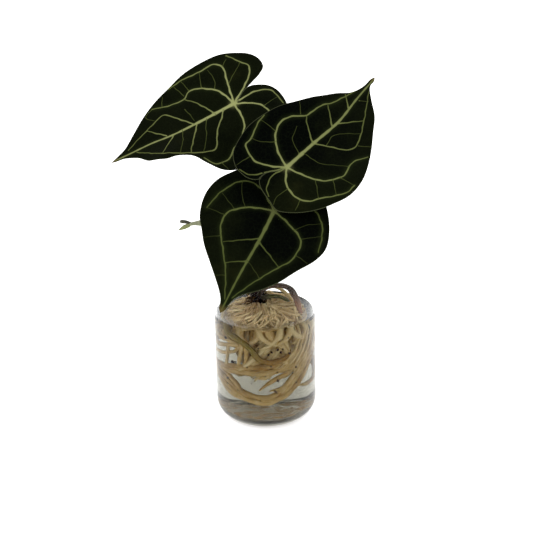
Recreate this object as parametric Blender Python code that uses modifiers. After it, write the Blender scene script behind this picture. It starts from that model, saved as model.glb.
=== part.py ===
"""Anthurium clarinervium with three heart-shaped leaves, standing with its bare
roots in a clear glass cylinder of water.

Lengths are written in millimetres and scaled by MM as they are used. The origin
is the centre of the glass's flat base, +Z is up, and the plant is seen from -Y.
"""
import math
import random

import bmesh
import bpy
import numpy as np
from mathutils import Matrix, Vector
from mathutils.geometry import delaunay_2d_cdt

MM = 0.001
GAP = 0.32

# Glass cylinder and the water in it
GLASS_R = 50.0
GLASS_H = 200.0
GLASS_WALL = 3.0
GLASS_FLOOR = 12.0
HEEL_R = 20.0
INNER_CORNER_R = 8.0
TURNED_STEPS = 48
WATER_LEVEL = 110.0
WATER_CAVITY_R = 43.2
WATER_CAVITY_FLOOR = 25.4

# Plant
CROWN_AT = (-6.0, 3.0, 123.0)
CROWN_RADII = (8.0, 7.5, 9.0)
NECK_AT = (-5.0, 3.0, 109.0)
NECK_RADII = (14.0, 13.0, 9.0)
CORE_AT = (-2.0, 2.0, 95.0)
CORE_RADII = (27.0, 26.0, 15.0)
BLADE_THICKNESS = 0.8
VEIN_HALF_WIDTH = 1.5
VEIN_CREST = 0.5
RIB_DEPTH = 0.8
BLADE_STEP = 9.0
ROOT_STEP = 12.5
PETIOLE_R = 2.1
PULVINUS_R = 2.7

COLOURS = {
    "glass_vase": ((0.90, 0.95, 0.93, 1.0), 0.03),
    "water": ((0.93, 0.96, 0.95, 1.0), 0.03),
    "roots": ((0.42, 0.32, 0.18, 1.0), 0.55),
    "crown": ((0.035, 0.014, 0.014, 1.0), 0.8),
    "aerial_root": ((0.16, 0.085, 0.055, 1.0), 0.6),
    "green_root": ((0.07, 0.065, 0.02, 1.0), 0.5),
    "petiole": ((0.10, 0.13, 0.04, 1.0), 0.5),
    "leaf": ((0.008, 0.014, 0.005, 1.0), 0.55),
    "flower_stalk": ((0.28, 0.30, 0.19, 1.0), 0.55),
    "flower_bract": ((0.24, 0.29, 0.11, 1.0), 0.55),
    "flower_spadix": ((0.10, 0.10, 0.08, 1.0), 0.7),
}

# Leaves. The junction is where the petiole meets the blade, and the tip lies on
# the blade's plane. "rise" and "turn" aim the blade's upper face: degrees above
# the horizon, and degrees to the right of the front. Outlines and veins are in
# the blade's own plane, u across and v towards the tip. A swell (u, v, height,
# spread) lifts or drops the blade about one place, which waves its margin.
LEAVES = {
    "leaf_back": {
        "junction": (-25.5, 76.0, 300.0),
        "tip": (-150.0, 68.0, 250.0),
        "rise": 50.0,
        "turn": -25.0,
        "tip_droop": 9.0,
        "swells": [(-44, 80, 14, 21), (-62, 14, -16, 21), (52, 60, -5, 22)],
        "right": [(5, -6), (12, -13), (17, -23), (22, -32), (32, -40), (44, -38), (54, -27),
                  (61, -8), (63, 12), (61, 38), (54, 58), (46, 74), (33, 91), (19, 106),
                  (8, 117), (3, 127)],
        "left": [(2, -7), (7, -13), (12, -20), (13, -28), (8, -38), (-5, -46), (-26, -48),
                 (-46, -41), (-62, -22), (-71, 4), (-68, 30), (-56, 44), (-46, 54), (-42, 68),
                 (-41, 80), (-29, 96), (-12, 109), (-4, 121)],
        "ribs": [[(0, 0), (-4, 43), (-6, 71), (-2, 105), (0, 128)],
                 [(0, 0), (20, 9), (37, 30), (32, 47), (37, 76)],
                 [(0, 0), (-14, 19), (-40, 31), (-42, 52), (-31, 81), (-8, 104)],
                 [(0, 0), (26, -1), (50, 0), (54, 26), (53, 54)],
                 [(0, 0), (-24, -3), (-46, 12), (-58, 30)],
                 [(0, 0), (-7, -14), (-24, -30), (-42, -30)]],
    },
    "leaf_right": {
        "junction": (24.0, -8.0, 260.2),
        "tip": (114.0, 79.0, 328.0),
        "rise": 50.0,
        "turn": 4.0,
        "tip_droop": 8.0,
        "swells": [(50, 70, -5, 21), (-48, 55, 4, 21)],
        "right": [(0, -6), (-6, -12), (-10, -19), (-10.5, -26), (-5, -32), (8, -37), (21, -41),
                  (34, -35), (48, -24), (60, -6), (66, 10), (66, 28), (61, 45), (51, 66),
                  (39, 86), (29, 102), (16, 115), (6, 126), (3, 134)],
        "left": [(-3, -6), (-9, -11), (-13, -18), (-13.5, -25), (-17, -30), (-26, -32), (-38, -30),
                 (-49, -20), (-54, -2), (-55, 15), (-50, 38), (-40, 59), (-28, 82), (-18, 97),
                 (-7, 110), (-2, 120), (0, 131)],
        "ribs": [[(0, 0), (3, 38), (6, 74), (3, 108), (1, 134)],
                 [(0, 0), (-21, 12), (-34, 30), (-27, 54), (-18, 76), (-10, 97), (-4, 114)],
                 [(0, 0), (29, 5), (47, 21), (46, 44), (53, 60)],
                 [(0, 0), (-15, -10), (-35, -14), (-45, 0), (-50, 22)],
                 [(0, 0), (9, -13), (31, -21), (47, -8), (62, 12)],
                 [(6, 39), (32, 52), (33, 70), (23, 93), (8, 120)]],
    },
    "leaf_front": {
        "junction": (11.3, -30.0, 225.0),
        "tip": (-41.0, -107.0, 161.0),
        "rise": 51.0,
        "turn": -2.0,
        "tip_droop": 7.0,
        "swells": [(50, 30, -4, 21), (-50, 40, 3, 21)],
        "right": [(2, -7), (6, -18), (11, -28), (20, -36), (32, -38), (44, -33), (56, -19),
                  (64, -3), (66, 14), (61, 32), (51, 45), (42, 58), (29, 72), (17, 85),
                  (7, 95), (2, 104)],
        "left": [(-3, -7), (-6, -18), (-10, -28), (-18, -36), (-28, -37), (-38, -30),
                 (-49, -15), (-58, 2), (-63, 20), (-60, 35), (-50, 50), (-38, 67), (-27, 79),
                 (-14, 88), (-5, 98)],
        "ribs": [[(0, 0), (-1, 32), (0, 72), (0, 106)],
                 [(0, 0), (23, 7), (39, 19), (37, 39), (25, 58), (12, 79), (3, 97)],
                 [(0, 0), (-20, 9), (-39, 23), (-39, 44), (-26, 64), (-12, 83), (-4, 97)],
                 [(0, 0), (23, -16), (46, -11), (58, 12)],
                 [(0, 0), (-20, -14), (-44, -8), (-58, 18)]],
    },
}

# Petioles run from the crown to just under each junction, hidden by the blades.
PETIOLES = {
    "petiole_back": ("leaf_back", [(-9, 8, 124), (-12, 16, 160), (-16, 33, 215), (-21, 60, 270)]),
    "petiole_right": ("leaf_right", [(-3, 5, 124), (1, 5, 155), (12, 11, 205), (22, 12, 238)]),
    "petiole_front": ("leaf_front", [(-5, -1, 124), (-3, -3, 150), (4, -9, 185), (10, -15, 207)]),
}

# Roots in polar places about the glass's axis: (degrees to the right of the
# front, distance from the axis, height). Each has its radius first. They leave
# the core under the crown and lie against the inside of the glass.
WALL_REACH = 40.0
ROOTS = [
    (2.6, [(-100, 12, 112), (-98, 28, 113), (-88, 36, 109), (-74, 37, 101), (-58, 37, 96),
           (-38, 37, 95), (-21, 37, 91), (-8, 36, 82), (9, 35, 76), (28, 34, 76), (46, 34, 82),
           (60, 28, 92)]),
    (2.9, [(-150, 14, 104), (-135, 28, 92), (-118, 36, 72), (-97, 37, 52), (-79, 37, 43),
           (-52, 37, 38), (-24, 37, 31), (-4, 37, 29), (10, 37, 31), (24, 37, 36), (38, 37, 47),
           (53, 37, 57), (73, 37, 68), (90, 36, 80), (108, 31, 92), (120, 15, 102)]),
    (2.7, [(-160, 12, 100), (-140, 26, 82), (-112, 35.5, 62), (-84, 36, 52), (-55, 36.5, 44),
           (-25, 37, 37), (-4, 37, 34.5), (14, 37, 38), (30, 37, 46), (45, 37, 57),
           (62, 36.5, 66), (80, 35, 78), (96, 28, 92), (110, 14, 102)]),
    (2.8, [(-120, 14, 100), (-112, 30, 82), (-100, 36, 66), (-89, 37, 59), (-57, 37, 57.5),
           (-30, 37, 60), (-1, 37, 62), (20, 37, 63), (39, 37, 66), (58, 37, 74), (78, 36, 84),
           (95, 29, 96), (105, 14, 104)]),
    (2.7, [(-80, 14, 100), (-78, 28, 86), (-70, 35, 74), (-50, 37, 66), (-28, 37, 66),
           (0, 36.8, 68), (18, 36.5, 69.5), (36, 36.5, 73), (52, 36, 82), (64, 31, 92),
           (72, 16, 102)]),
    (2.5, [(70, 14, 98), (68, 27, 86), (52, 35, 72), (32, 37, 59), (14, 36.8, 55), (3, 37, 50),
           (-10, 37, 42)]),
    (2.4, [(-130, 14, 108), (-115, 29, 102), (-98, 36, 92), (-82, 37, 88), (-62, 37, 90),
           (-45, 36, 89), (-30, 31, 84), (-20, 22, 80)]),
    (2.4, [(-140, 14, 96), (-120, 30, 84), (-102, 36.5, 78), (-84, 37, 76.5), (-62, 37, 79),
           (-44, 36, 86), (-34, 29, 94), (-28, 14, 102)]),
    (2.3, [(-56, 14, 104), (-57, 28, 98), (-58, 36, 88), (-61, 37, 76), (-66, 37, 64),
           (-74, 36.5, 54), (-86, 32, 48)]),
    (2.6, [(-50, 12, 100), (-44, 26, 92), (-30, 34, 84), (-20, 35, 92), (-6, 34, 99),
           (14, 35, 102), (28, 36, 94), (34, 35, 83), (34, 29, 72)]),
    (2.5, [(150, 14, 80), (130, 29, 62), (112, 35, 47), (96, 37, 39), (80, 37, 37.5),
           (64, 37, 39.5), (46, 37, 43)]),
    (2.6, [(60, 14, 104), (64, 27, 96), (68, 35, 82), (58, 37, 64), (42, 37, 52), (22, 37, 44),
           (4, 36, 41)]),
]

# The golden root that arches over the mound behind the crown
ARCHING_ROOT = (2.2, [(-10, 12, 106), (-12, 16, 119), (-7, 15, 128.5), (2, 13, 132.5), (10, 12, 131.5),
                      (18, 11, 127), (25, 9, 119), (31, 7, 108), (34, 6, 96)])

# The brown aerial root arches to the right and dips into the water, and a short
# green-tipped root lies over the mound in front of it.
AERIAL_ROOT = [(0, 1, 126), (6, 0, 132.5), (13, 0, 136.5), (21, 0, 138), (28, 0, 134.5),
               (33, 0, 126), (35, 0, 116), (36, 0, 104), (35.5, -1, 94)]
AERIAL_ROOT_R = 2.9
GREEN_ROOT = [(-3, -3.5, 126), (3, -5, 127), (11, -4.5, 126), (18, -4, 123), (25, -3, 118.5)]
GREEN_ROOT_R = 2.0

# The flower stalk leaves the crown, rests on the rim at the left and forks
# beyond it into a pointed bract and a short spadix.
FLOWER_STALK = [(-11, 3, 124), (-15, 4, 140), (-23, 3, 170), (-33, 2, 193), (-42, 1, 202.6),
                (-50, 0, 203.6), (-58, 0, 203.7), (-66, 0, 203.2), (-70, 0, 202.6)]
FLOWER_STALK_R = [2.4, 2.4, 2.4, 2.5, 2.7, 2.9, 2.8, 1.9, 1.7]
BRACT = [(-70.9, 0, 202.3), (-74, 0, 201.2), (-78, 0, 199.6), (-83, 0, 197.6)]
BRACT_R = [1.6, 2.5, 2.1, 0.5]
SPADIX = [(-71.5, 0.5, 204.8), (-73.5, 0.5, 206.2), (-77, 0.5, 206.8), (-81, 0.5, 206.4)]
SPADIX_R = [1.1, 1.7, 1.8, 1.2]


def clear_scene():
    for obj in list(bpy.data.objects):
        bpy.data.objects.remove(obj, do_unlink=True)


def make_collection(name):
    collection = bpy.data.collections.new(name)
    bpy.context.scene.collection.children.link(collection)
    return collection


def make_material(name):
    colour, roughness = COLOURS[name]
    material = bpy.data.materials.get(name)
    if material is None:
        material = bpy.data.materials.new(name)
        material.use_nodes = True
        shader = material.node_tree.nodes["Principled BSDF"]
        shader.inputs["Base Color"].default_value = colour
        shader.inputs["Roughness"].default_value = roughness
        shader.inputs["Metallic"].default_value = 0.0
        if name in ("glass_vase", "water"):
            shader.inputs["Transmission Weight"].default_value = 1.0
    return material


def finish(obj, material):
    obj.data.materials.clear()
    obj.data.materials.append(make_material(material))
    obj.data.shade_smooth()
    obj.data.set_sharp_from_angle(angle=math.radians(40))
    return obj


def apply_modifiers(obj):
    """Bake the object's modifiers into its mesh."""
    graph = bpy.context.evaluated_depsgraph_get()
    mesh = bpy.data.meshes.new_from_object(obj.evaluated_get(graph))
    obj.modifiers.clear()
    obj.data = mesh
    return obj


def weld(mesh, distance=1e-6):
    work = bmesh.new()
    work.from_mesh(mesh)
    bmesh.ops.remove_doubles(work, verts=work.verts, dist=distance)
    bmesh.ops.recalc_face_normals(work, faces=work.faces)
    work.to_mesh(mesh)
    work.free()


def smooth_path(points, step):
    """Points every step or so along a Catmull-Rom curve through the given ones."""
    points = [np.array(p, float) for p in points]
    points = [2 * points[0] - points[1]] + points + [2 * points[-1] - points[-2]]
    path = []
    for before, start, end, after in zip(points, points[1:], points[2:], points[3:]):
        count = max(1, round(float(np.linalg.norm(end - start)) / step))
        for i in range(count):
            t = i / count
            path.append(0.5 * (2 * start + (end - before) * t
                               + (2 * before - 5 * start + 4 * end - after) * t ** 2
                               + (3 * start - before - 3 * end + after) * t ** 3))
    path.append(points[-2])
    return np.array(path)


def tube(name, path, radii, collection, sides=1):
    """A closed tube through the path with a radius at each point, as a mesh."""
    curve = bpy.data.curves.new(name, "CURVE")
    curve.dimensions = "3D"
    curve.bevel_depth = MM
    curve.bevel_resolution = sides
    curve.use_fill_caps = True
    spline = curve.splines.new("POLY")
    spline.points.add(len(path) - 1)
    for point, place, radius in zip(spline.points, path, radii):
        point.co = (*(place * MM), 1.0)
        point.radius = radius
    guide = bpy.data.objects.new(name + "_curve", curve)
    collection.objects.link(guide)
    bpy.context.view_layer.update()
    graph = bpy.context.evaluated_depsgraph_get()
    mesh = bpy.data.meshes.new_from_object(guide.evaluated_get(graph))
    bpy.data.objects.remove(guide, do_unlink=True)
    weld(mesh)
    obj = bpy.data.objects.new(name, mesh)
    collection.objects.link(obj)
    return obj


def radii_along(path, stations, radii):
    """Radii spread along the path from those given at its stations."""
    place = np.concatenate([[0], np.cumsum(np.linalg.norm(np.diff(path, axis=0), axis=1))])
    nodes = [place[int(np.argmin(np.linalg.norm(path - np.array(s, float), axis=1)))]
             for s in stations]
    return np.interp(place, nodes, radii)


def ellipsoid(name, centre, radii, collection, segments=12, rings=8, tilt=None):
    work = bmesh.new()
    bmesh.ops.create_uvsphere(work, u_segments=segments, v_segments=rings, radius=MM)
    shape = Matrix.Translation(Vector(centre) * MM)
    if tilt is not None:
        shape = shape @ tilt
    shape = shape @ Matrix.Diagonal((*radii, 1.0))
    bmesh.ops.transform(work, matrix=shape, verts=work.verts)
    mesh = bpy.data.meshes.new(name)
    work.to_mesh(mesh)
    work.free()
    obj = bpy.data.objects.new(name, mesh)
    collection.objects.link(obj)
    return obj


def boolean(obj, operation, operand, solver="EXACT"):
    modifier = obj.modifiers.new(operation.title(), "BOOLEAN")
    modifier.operation = operation
    modifier.solver = solver
    if isinstance(operand, bpy.types.Collection):
        modifier.operand_type = "COLLECTION"
        modifier.collection = operand
    else:
        modifier.object = operand
    bpy.context.view_layer.update()
    return apply_modifiers(obj)


def fuse(obj, pieces):
    """Join the objects of a collection to obj in one closed body."""
    boolean(obj, "UNION", pieces)
    for piece in list(pieces.objects):
        bpy.data.objects.remove(piece, do_unlink=True)
    bpy.data.collections.remove(pieces)
    return obj


def as_cutter(obj):
    obj.hide_render = True
    obj.display_type = "WIRE"
    return obj


def arc(centre, radius, start, end, count):
    """Points of a quarter turn, or any part of a circle, in a profile's plane."""
    angles = np.radians(np.linspace(start, end, count + 1))
    return [(centre[0] + radius * math.cos(a), centre[1] + radius * math.sin(a)) for a in angles]


def turned(name, profile, collection):
    """A closed profile between two points on the axis, turned round it."""
    mesh = bpy.data.meshes.new(name)
    points = [(x * MM, 0.0, z * MM) for x, z in profile]
    mesh.from_pydata(points, [(i, i + 1) for i in range(len(points) - 1)], [])
    obj = bpy.data.objects.new(name, mesh)
    collection.objects.link(obj)
    screw = obj.modifiers.new("Screw", "SCREW")
    screw.steps = TURNED_STEPS
    screw.render_steps = TURNED_STEPS
    screw.use_merge_vertices = True
    screw.merge_threshold = 0.00001
    return obj


def make_glass(parts):
    inner = GLASS_R - GLASS_WALL
    lip = GLASS_WALL / 2
    corner = (inner - INNER_CORNER_R, GLASS_FLOOR + INNER_CORNER_R)
    profile = [(0, GLASS_FLOOR)]
    profile += arc(corner, INNER_CORNER_R, -90, 0, 4)
    profile += arc((GLASS_R - lip, GLASS_H - lip), lip, 180, 0, 4)
    profile += arc((GLASS_R - HEEL_R, HEEL_R), HEEL_R, 0, -90, 6)
    profile += [(0, 0)]
    return finish(turned("glass_vase", profile, parts), "glass_vase")


def make_water(parts):
    """A cup of water that follows the glass, round the plain hollow of the roots."""
    outer = GLASS_R - GLASS_WALL - GAP
    floor = GLASS_FLOOR + GAP
    corner = (outer - INNER_CORNER_R, floor + INNER_CORNER_R)
    profile = [(0, WATER_CAVITY_FLOOR), (WATER_CAVITY_R, WATER_CAVITY_FLOOR),
               (WATER_CAVITY_R, WATER_LEVEL), (outer, WATER_LEVEL)]
    profile += arc(corner, INNER_CORNER_R, 0, -90, 4)
    profile += [(0, floor)]
    return finish(turned("water", profile, parts), "water")


def make_crown(name, collection, grow=0.0):
    """The stubby stem: a knob ringed by the pointed bases of old scale leaves."""
    body = ellipsoid(name, CROWN_AT, [r + grow for r in CROWN_RADII], collection, 14, 10)
    scales = make_collection(name + "_scales")
    for i in range(7):
        turn = math.radians(51.4 * i + 20)
        reach = 5.6 + 0.9 * math.sin(2.3 * i)
        centre = (CROWN_AT[0] + reach * math.cos(turn), CROWN_AT[1] + reach * math.sin(turn),
                  CROWN_AT[2] + 2.5 * math.sin(1.7 * i) - 0.5)
        lean = Matrix.Rotation(turn, 4, "Z") @ Matrix.Rotation(math.radians(24), 4, "Y")
        ellipsoid(name + "_scale", centre, (2.4 + grow, 3.2 + grow, 5.6 + grow), scales, 8, 6,
                  lean)
    return fuse(body, scales)


def polar(place):
    turn, reach, height = place
    turn = math.radians(turn)
    return (reach * math.sin(turn), -reach * math.cos(turn), height)


def root_routes():
    """Every root of the fused mass: those listed above, then those round them."""
    routes = [(radius, [polar(p) for p in places]) for radius, places in ROOTS]
    routes.append(ARCHING_ROOT)
    rng = random.Random(7)
    # Strands that fan down the right wall
    for i in range(4):
        turn = 34 + 15 * i
        routes.append((2.4, [polar(p) for p in (
            (turn, 12, 108), (turn + 6, 26, 108 - i), (turn + 12, 36, 99 - i),
            (turn + 12, 37.5, 86), (turn + 4, 37.5, 74), (turn - 12, 36.5, 64))]))
    # Roots that spill from the neck over the mound and run on round the wall
    for i in range(14):
        turn = 25.7 * i - 8 + rng.uniform(-6, 6)
        drop = rng.uniform(0, 5)
        sweep = rng.choice((-1, 1))
        routes.append((2.4, [polar(p) for p in (
            (turn, 7, 111), (turn + 5 * sweep, 19, 114 - drop), (turn + 12 * sweep, 30, 111 - drop),
            (turn + 22 * sweep, 38.5, 105 - drop), (turn + 38 * sweep, WALL_REACH, 97 - drop),
            (turn + 54 * sweep, 38, 91 - drop))]))
    # Inner roots that hang from the core
    for i in range(6):
        turn = 60 * i + rng.uniform(-10, 10)
        sink = rng.uniform(0, 8)
        routes.append((2.7, [polar(p) for p in (
            (turn, 20, 92), (turn + 20, 29, 84 - sink / 2), (turn + 48, 31, 76 - sink),
            (turn + 76, 29, 70 - sink), (turn + 98, 24, 66 - sink))]))
    # Roots round the back wall
    for i in range(4):
        turn = 112 + 26 * i
        sweep = 1 if i % 2 else -1
        low = 62 + 8 * i
        routes.append((2.6, [polar(p) for p in (
            (turn, 18, 98), (turn + 8 * sweep, 29, 94), (turn + 20 * sweep, 37, low + 16),
            (turn + 42 * sweep, 39.5, low + 6), (turn + 66 * sweep, 38.5, low))]))
    return routes


def make_roots(parts, cutters):
    core = ellipsoid("roots", CORE_AT, CORE_RADII, parts, 18, 10)
    pieces = make_collection("root_pieces")
    ellipsoid("neck", NECK_AT, NECK_RADII, pieces, 14, 8)
    for radius, route in root_routes():
        path = smooth_path(route, ROOT_STEP)
        along = np.linspace(0, 1, len(path))
        taper = np.interp(along, (0, 0.85, 1), (1, 1, 0.62))
        tube("root", path, radius * taper, pieces)
    fuse(core, pieces)
    for cutter in cutters:
        boolean(core, "DIFFERENCE", cutter)
    return finish(core, "roots")


def blade_frame(leaf):
    """Origin, across, along and facing directions of a leaf's plane, and its length."""
    rise = math.radians(leaf["rise"])
    turn = math.radians(leaf["turn"])
    facing = Vector((math.sin(turn) * math.cos(rise), -math.cos(turn) * math.cos(rise),
                     math.sin(rise)))
    origin = Vector(leaf["junction"])
    along = Vector(leaf["tip"]) - origin
    along -= along.dot(facing) * facing
    length = along.length
    along.normalize()
    return origin, along.cross(facing), along, facing, length


def blade_height(leaf, length, u, v):
    """Height of the blade's middle surface over its plane: a shallow fold along
    the midrib, a drooping tip and lobes, and the swells of its margin."""
    height = 0.10 * (np.sqrt(u * u + 64.0) - 8.0)
    height -= leaf["tip_droop"] * np.clip(v / length, 0, None) ** 2
    height -= 5.0 * (np.clip(-v, 0, None) / 40.0) ** 2
    for at_u, at_v, lift, spread in leaf["swells"]:
        height += lift * np.exp(-((u - at_u) ** 2 + (v - at_v) ** 2) / (2.0 * spread ** 2))
    return height


def blade_outline(leaf, length, step):
    """The heart's margin, from the notch round the right half, the tip and the left."""
    right = smooth_path([(*p, 0) for p in leaf["right"] + [(0, length)]], step)
    left = smooth_path([(*p, 0) for p in leaf["left"] + [(0, length)]], step)
    notch = [((leaf["right"][0][0] + leaf["left"][0][0]) / 2, -3.6, 0)]
    return np.concatenate([notch, right, left[-2::-1]])[:, :2]


def distance_to_lines(points, lines):
    """Distance of each point from the nearest of the given lines."""
    nearest = np.full(len(points), np.inf)
    for line in lines:
        for a, b in zip(line[:-1], line[1:]):
            span = b - a
            t = np.clip(((points - a) @ span) / (span @ span), 0, 1)
            nearest = np.minimum(nearest, np.linalg.norm(points - a - t[:, None] * span, axis=1))
    return nearest


def beside(line, offset):
    """A line moved sideways by the offset."""
    run = np.gradient(line, axis=0)
    run /= np.linalg.norm(run, axis=1)[:, None]
    return line + offset * np.stack([-run[:, 1], run[:, 0]], axis=1)


def inside(points, outline):
    """Which points lie inside the closed outline."""
    x, y = points[:, 0], points[:, 1]
    found = np.zeros(len(points), bool)
    for (x0, y0), (x1, y1) in zip(outline, np.roll(outline, -1, axis=0)):
        if y0 != y1:
            crosses = ((y0 > y) != (y1 > y)) & (x < (x1 - x0) * (y - y0) / (y1 - y0) + x0)
            found ^= crosses
    return found


def make_leaf(name, leaf, parts):
    """A thin blade whose two faces share one triangulation, with raised veins on
    top and ribs below along the same lines."""
    origin, across, along, facing, length = blade_frame(leaf)
    outline = blade_outline(leaf, length, BLADE_STEP)
    ribs = [smooth_path([(*p, 0) for p in rib], BLADE_STEP)[:, :2] for rib in leaf["ribs"]]
    points = [outline]
    edges = [(i, (i + 1) % len(outline)) for i in range(len(outline))]
    count = len(outline)
    for rib in ribs:
        for line in (rib, beside(rib, VEIN_HALF_WIDTH), beside(rib, -VEIN_HALF_WIDTH)):
            keep = inside(line, outline) & (distance_to_lines(line, [outline]) > 1.6)
            run = line[keep]
            edges += [(count + i, count + i + 1) for i in range(len(run) - 1)]
            points.append(run)
            count += len(run)
    rows = np.arange(-56, length, BLADE_STEP * 0.866)
    lattice = np.array([(u + (i % 2) * BLADE_STEP / 2, v) for i, v in enumerate(rows)
                        for u in np.arange(-81, 82, BLADE_STEP)])
    clear = inside(lattice, outline) & (distance_to_lines(lattice, [outline]) > 3.5)
    clear &= distance_to_lines(lattice, ribs) > 4.0
    points.append(lattice[clear])
    flat = [Vector(p) for p in np.concatenate(points)]
    flat, _, faces, _, _, _ = delaunay_2d_cdt(flat, edges, [], 0, 1e-4)
    flat = np.array([tuple(p) for p in flat])
    middles = np.array([flat[list(f)].mean(axis=0) for f in faces])
    faces = [list(f) for f, keep in zip(faces, inside(middles, outline)) if keep]
    used = sorted({i for f in faces for i in f})
    order = {old: new for new, old in enumerate(used)}
    flat = flat[used]
    faces = [[order[i] for i in f] for f in faces]

    u, v = flat[:, 0], flat[:, 1]
    crest = np.clip(1 - distance_to_lines(flat, ribs) / VEIN_HALF_WIDTH, 0, 1)
    middle = blade_height(leaf, length, u, v) - blade_height(leaf, length, 0.0, 0.0)
    plane = (np.outer(u, across) + np.outer(v, along)) + np.array(origin)
    top = plane + np.outer(middle + BLADE_THICKNESS / 2 + VEIN_CREST * crest, facing)
    bottom = plane + np.outer(middle - BLADE_THICKNESS / 2 - RIB_DEPTH * crest, facing)
    total = len(flat)
    shell = faces + [[i + total for i in reversed(f)] for f in faces]
    once = {}
    for f in faces:
        for a, b in zip(f, f[1:] + f[:1]):
            if (b, a) in once:
                del once[(b, a)]
            else:
                once[(a, b)] = True
    for a, b in once:
        shell += [[b, a, a + total], [b, a + total, b + total]]
    mesh = bpy.data.meshes.new(name)
    mesh.from_pydata([tuple(p) for p in np.concatenate([top, bottom]) * MM], [], shell)
    work = bmesh.new()
    work.from_mesh(mesh)
    bmesh.ops.recalc_face_normals(work, faces=work.faces)
    work.to_mesh(mesh)
    work.free()
    obj = bpy.data.objects.new(name, mesh)
    parts.objects.link(obj)
    return finish(obj, "leaf")


def make_petiole(name, parts, crown):
    """A stalk from the crown that thickens into a pulvinus square under the blade."""
    leaf_name, route = PETIOLES[name]
    origin, _, _, facing, _ = blade_frame(LEAVES[leaf_name])
    end = origin - facing * (BLADE_THICKNESS / 2 + RIB_DEPTH + GAP + 0.05)
    knee = origin - facing * 7.0
    path = smooth_path(route + [tuple(knee), tuple(end)], 12.0)
    left = np.linalg.norm(path - path[-1], axis=1)
    radii = np.where(left < 13.0, PULVINUS_R, PETIOLE_R)
    obj = tube(name, path, radii, parts, sides=2)
    boolean(obj, "DIFFERENCE", crown)
    return finish(obj, "petiole")


def make_tapered(name, places, radii, parts, material, step=6.0, crown=None):
    path = smooth_path(places, step)
    obj = tube(name, path, radii_along(path, places, radii), parts, sides=2)
    if crown is not None:
        boolean(obj, "DIFFERENCE", crown)
    return finish(obj, material)


def make_room(name, places, radii, cutters):
    """The space that a root needs among the others: a gap wider, and deeper at its end."""
    x, y, z = places[-1]
    route = places[:-1] + [(x, y, z - 2 * GAP)]
    return as_cutter(make_tapered(name, route, [r + 1.25 * GAP for r in radii], cutters,
                                  "roots", 5.0))


def main():
    clear_scene()
    parts = make_collection("anthurium_in_water")
    cutters = make_collection("cutters")
    make_glass(parts)
    make_water(parts)
    finish(make_crown("crown", parts), "crown")
    crown_room = as_cutter(make_crown("crown_room", cutters, GAP))
    aerial_radii = [AERIAL_ROOT_R] * (len(AERIAL_ROOT) - 1) + [AERIAL_ROOT_R * 0.7]
    green_radii = [GREEN_ROOT_R] * (len(GREEN_ROOT) - 1) + [GREEN_ROOT_R * 0.6]
    make_tapered("aerial_root", AERIAL_ROOT, aerial_radii, parts, "aerial_root", 5.0, crown_room)
    make_tapered("green_root", GREEN_ROOT, green_radii, parts, "green_root", 5.0, crown_room)
    rooms = [crown_room,
             make_room("aerial_root_room", AERIAL_ROOT, aerial_radii, cutters),
             make_room("green_root_room", GREEN_ROOT, green_radii, cutters)]
    make_roots(parts, rooms)
    for name in PETIOLES:
        make_petiole(name, parts, crown_room)
    for name, leaf in LEAVES.items():
        make_leaf(name, leaf, parts)
    make_tapered("flower_stalk", FLOWER_STALK, FLOWER_STALK_R, parts, "flower_stalk", 9.0,
                 crown_room)
    make_tapered("flower_bract", BRACT, BRACT_R, parts, "flower_bract", 3.0)
    make_tapered("flower_spadix", SPADIX, SPADIX_R, parts, "flower_spadix", 3.0)


main()
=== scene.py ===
"""Anthurium clarinervium standing with bare roots in a glass cylinder of water.

Lengths are written in millimetres and scaled by MM as meshes are made. The
origin is the centre of the glass's base, +Z is up and the front is towards -Y.
"""
import math
import random

import bpy
import numpy as np
from mathutils import Matrix, Vector
from mathutils.geometry import delaunay_2d_cdt


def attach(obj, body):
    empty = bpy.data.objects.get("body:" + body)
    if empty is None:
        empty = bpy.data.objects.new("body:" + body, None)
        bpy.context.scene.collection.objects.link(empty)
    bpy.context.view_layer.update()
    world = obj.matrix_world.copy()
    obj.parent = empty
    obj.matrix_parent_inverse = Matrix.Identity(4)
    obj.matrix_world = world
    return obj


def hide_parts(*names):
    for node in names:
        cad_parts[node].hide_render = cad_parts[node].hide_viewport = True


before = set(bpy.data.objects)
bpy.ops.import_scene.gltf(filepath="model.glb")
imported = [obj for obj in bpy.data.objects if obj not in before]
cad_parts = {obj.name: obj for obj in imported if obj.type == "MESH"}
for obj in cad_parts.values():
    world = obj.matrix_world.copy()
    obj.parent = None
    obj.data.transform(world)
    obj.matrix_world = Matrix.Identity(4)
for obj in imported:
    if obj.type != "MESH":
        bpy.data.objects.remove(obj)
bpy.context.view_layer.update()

MM = 0.001

# Camera and studio
CAMERA_AT = (0.0028, -1.394, 0.714)
CAMERA_TILT = 21.8
CAMERA_ROLL = -1.25
FOCAL_PIXELS = 1540.0
LIGHT_AIM = Vector((0.0, 0.0, 0.18))
WORLD_LIGHT = 1.25
FLOOR_HALF = 6.0
FLOOR_DROP = 0.0003
PHOTO_WIDTH = 533
SENSOR_WIDTH = 36.0

# Glass and water
GLASS_R = 50.0
GLASS_H = 200.0
GLASS_WALL = 1.8
GLASS_FLOOR = 12.0
HEEL_R = 20.0
INNER_CORNER_R = 8.0
TURNED_STEPS = 180
WATER_LEVEL = 110.0
WATER_SOAK = 0.3
MENISCUS = 1.4

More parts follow.
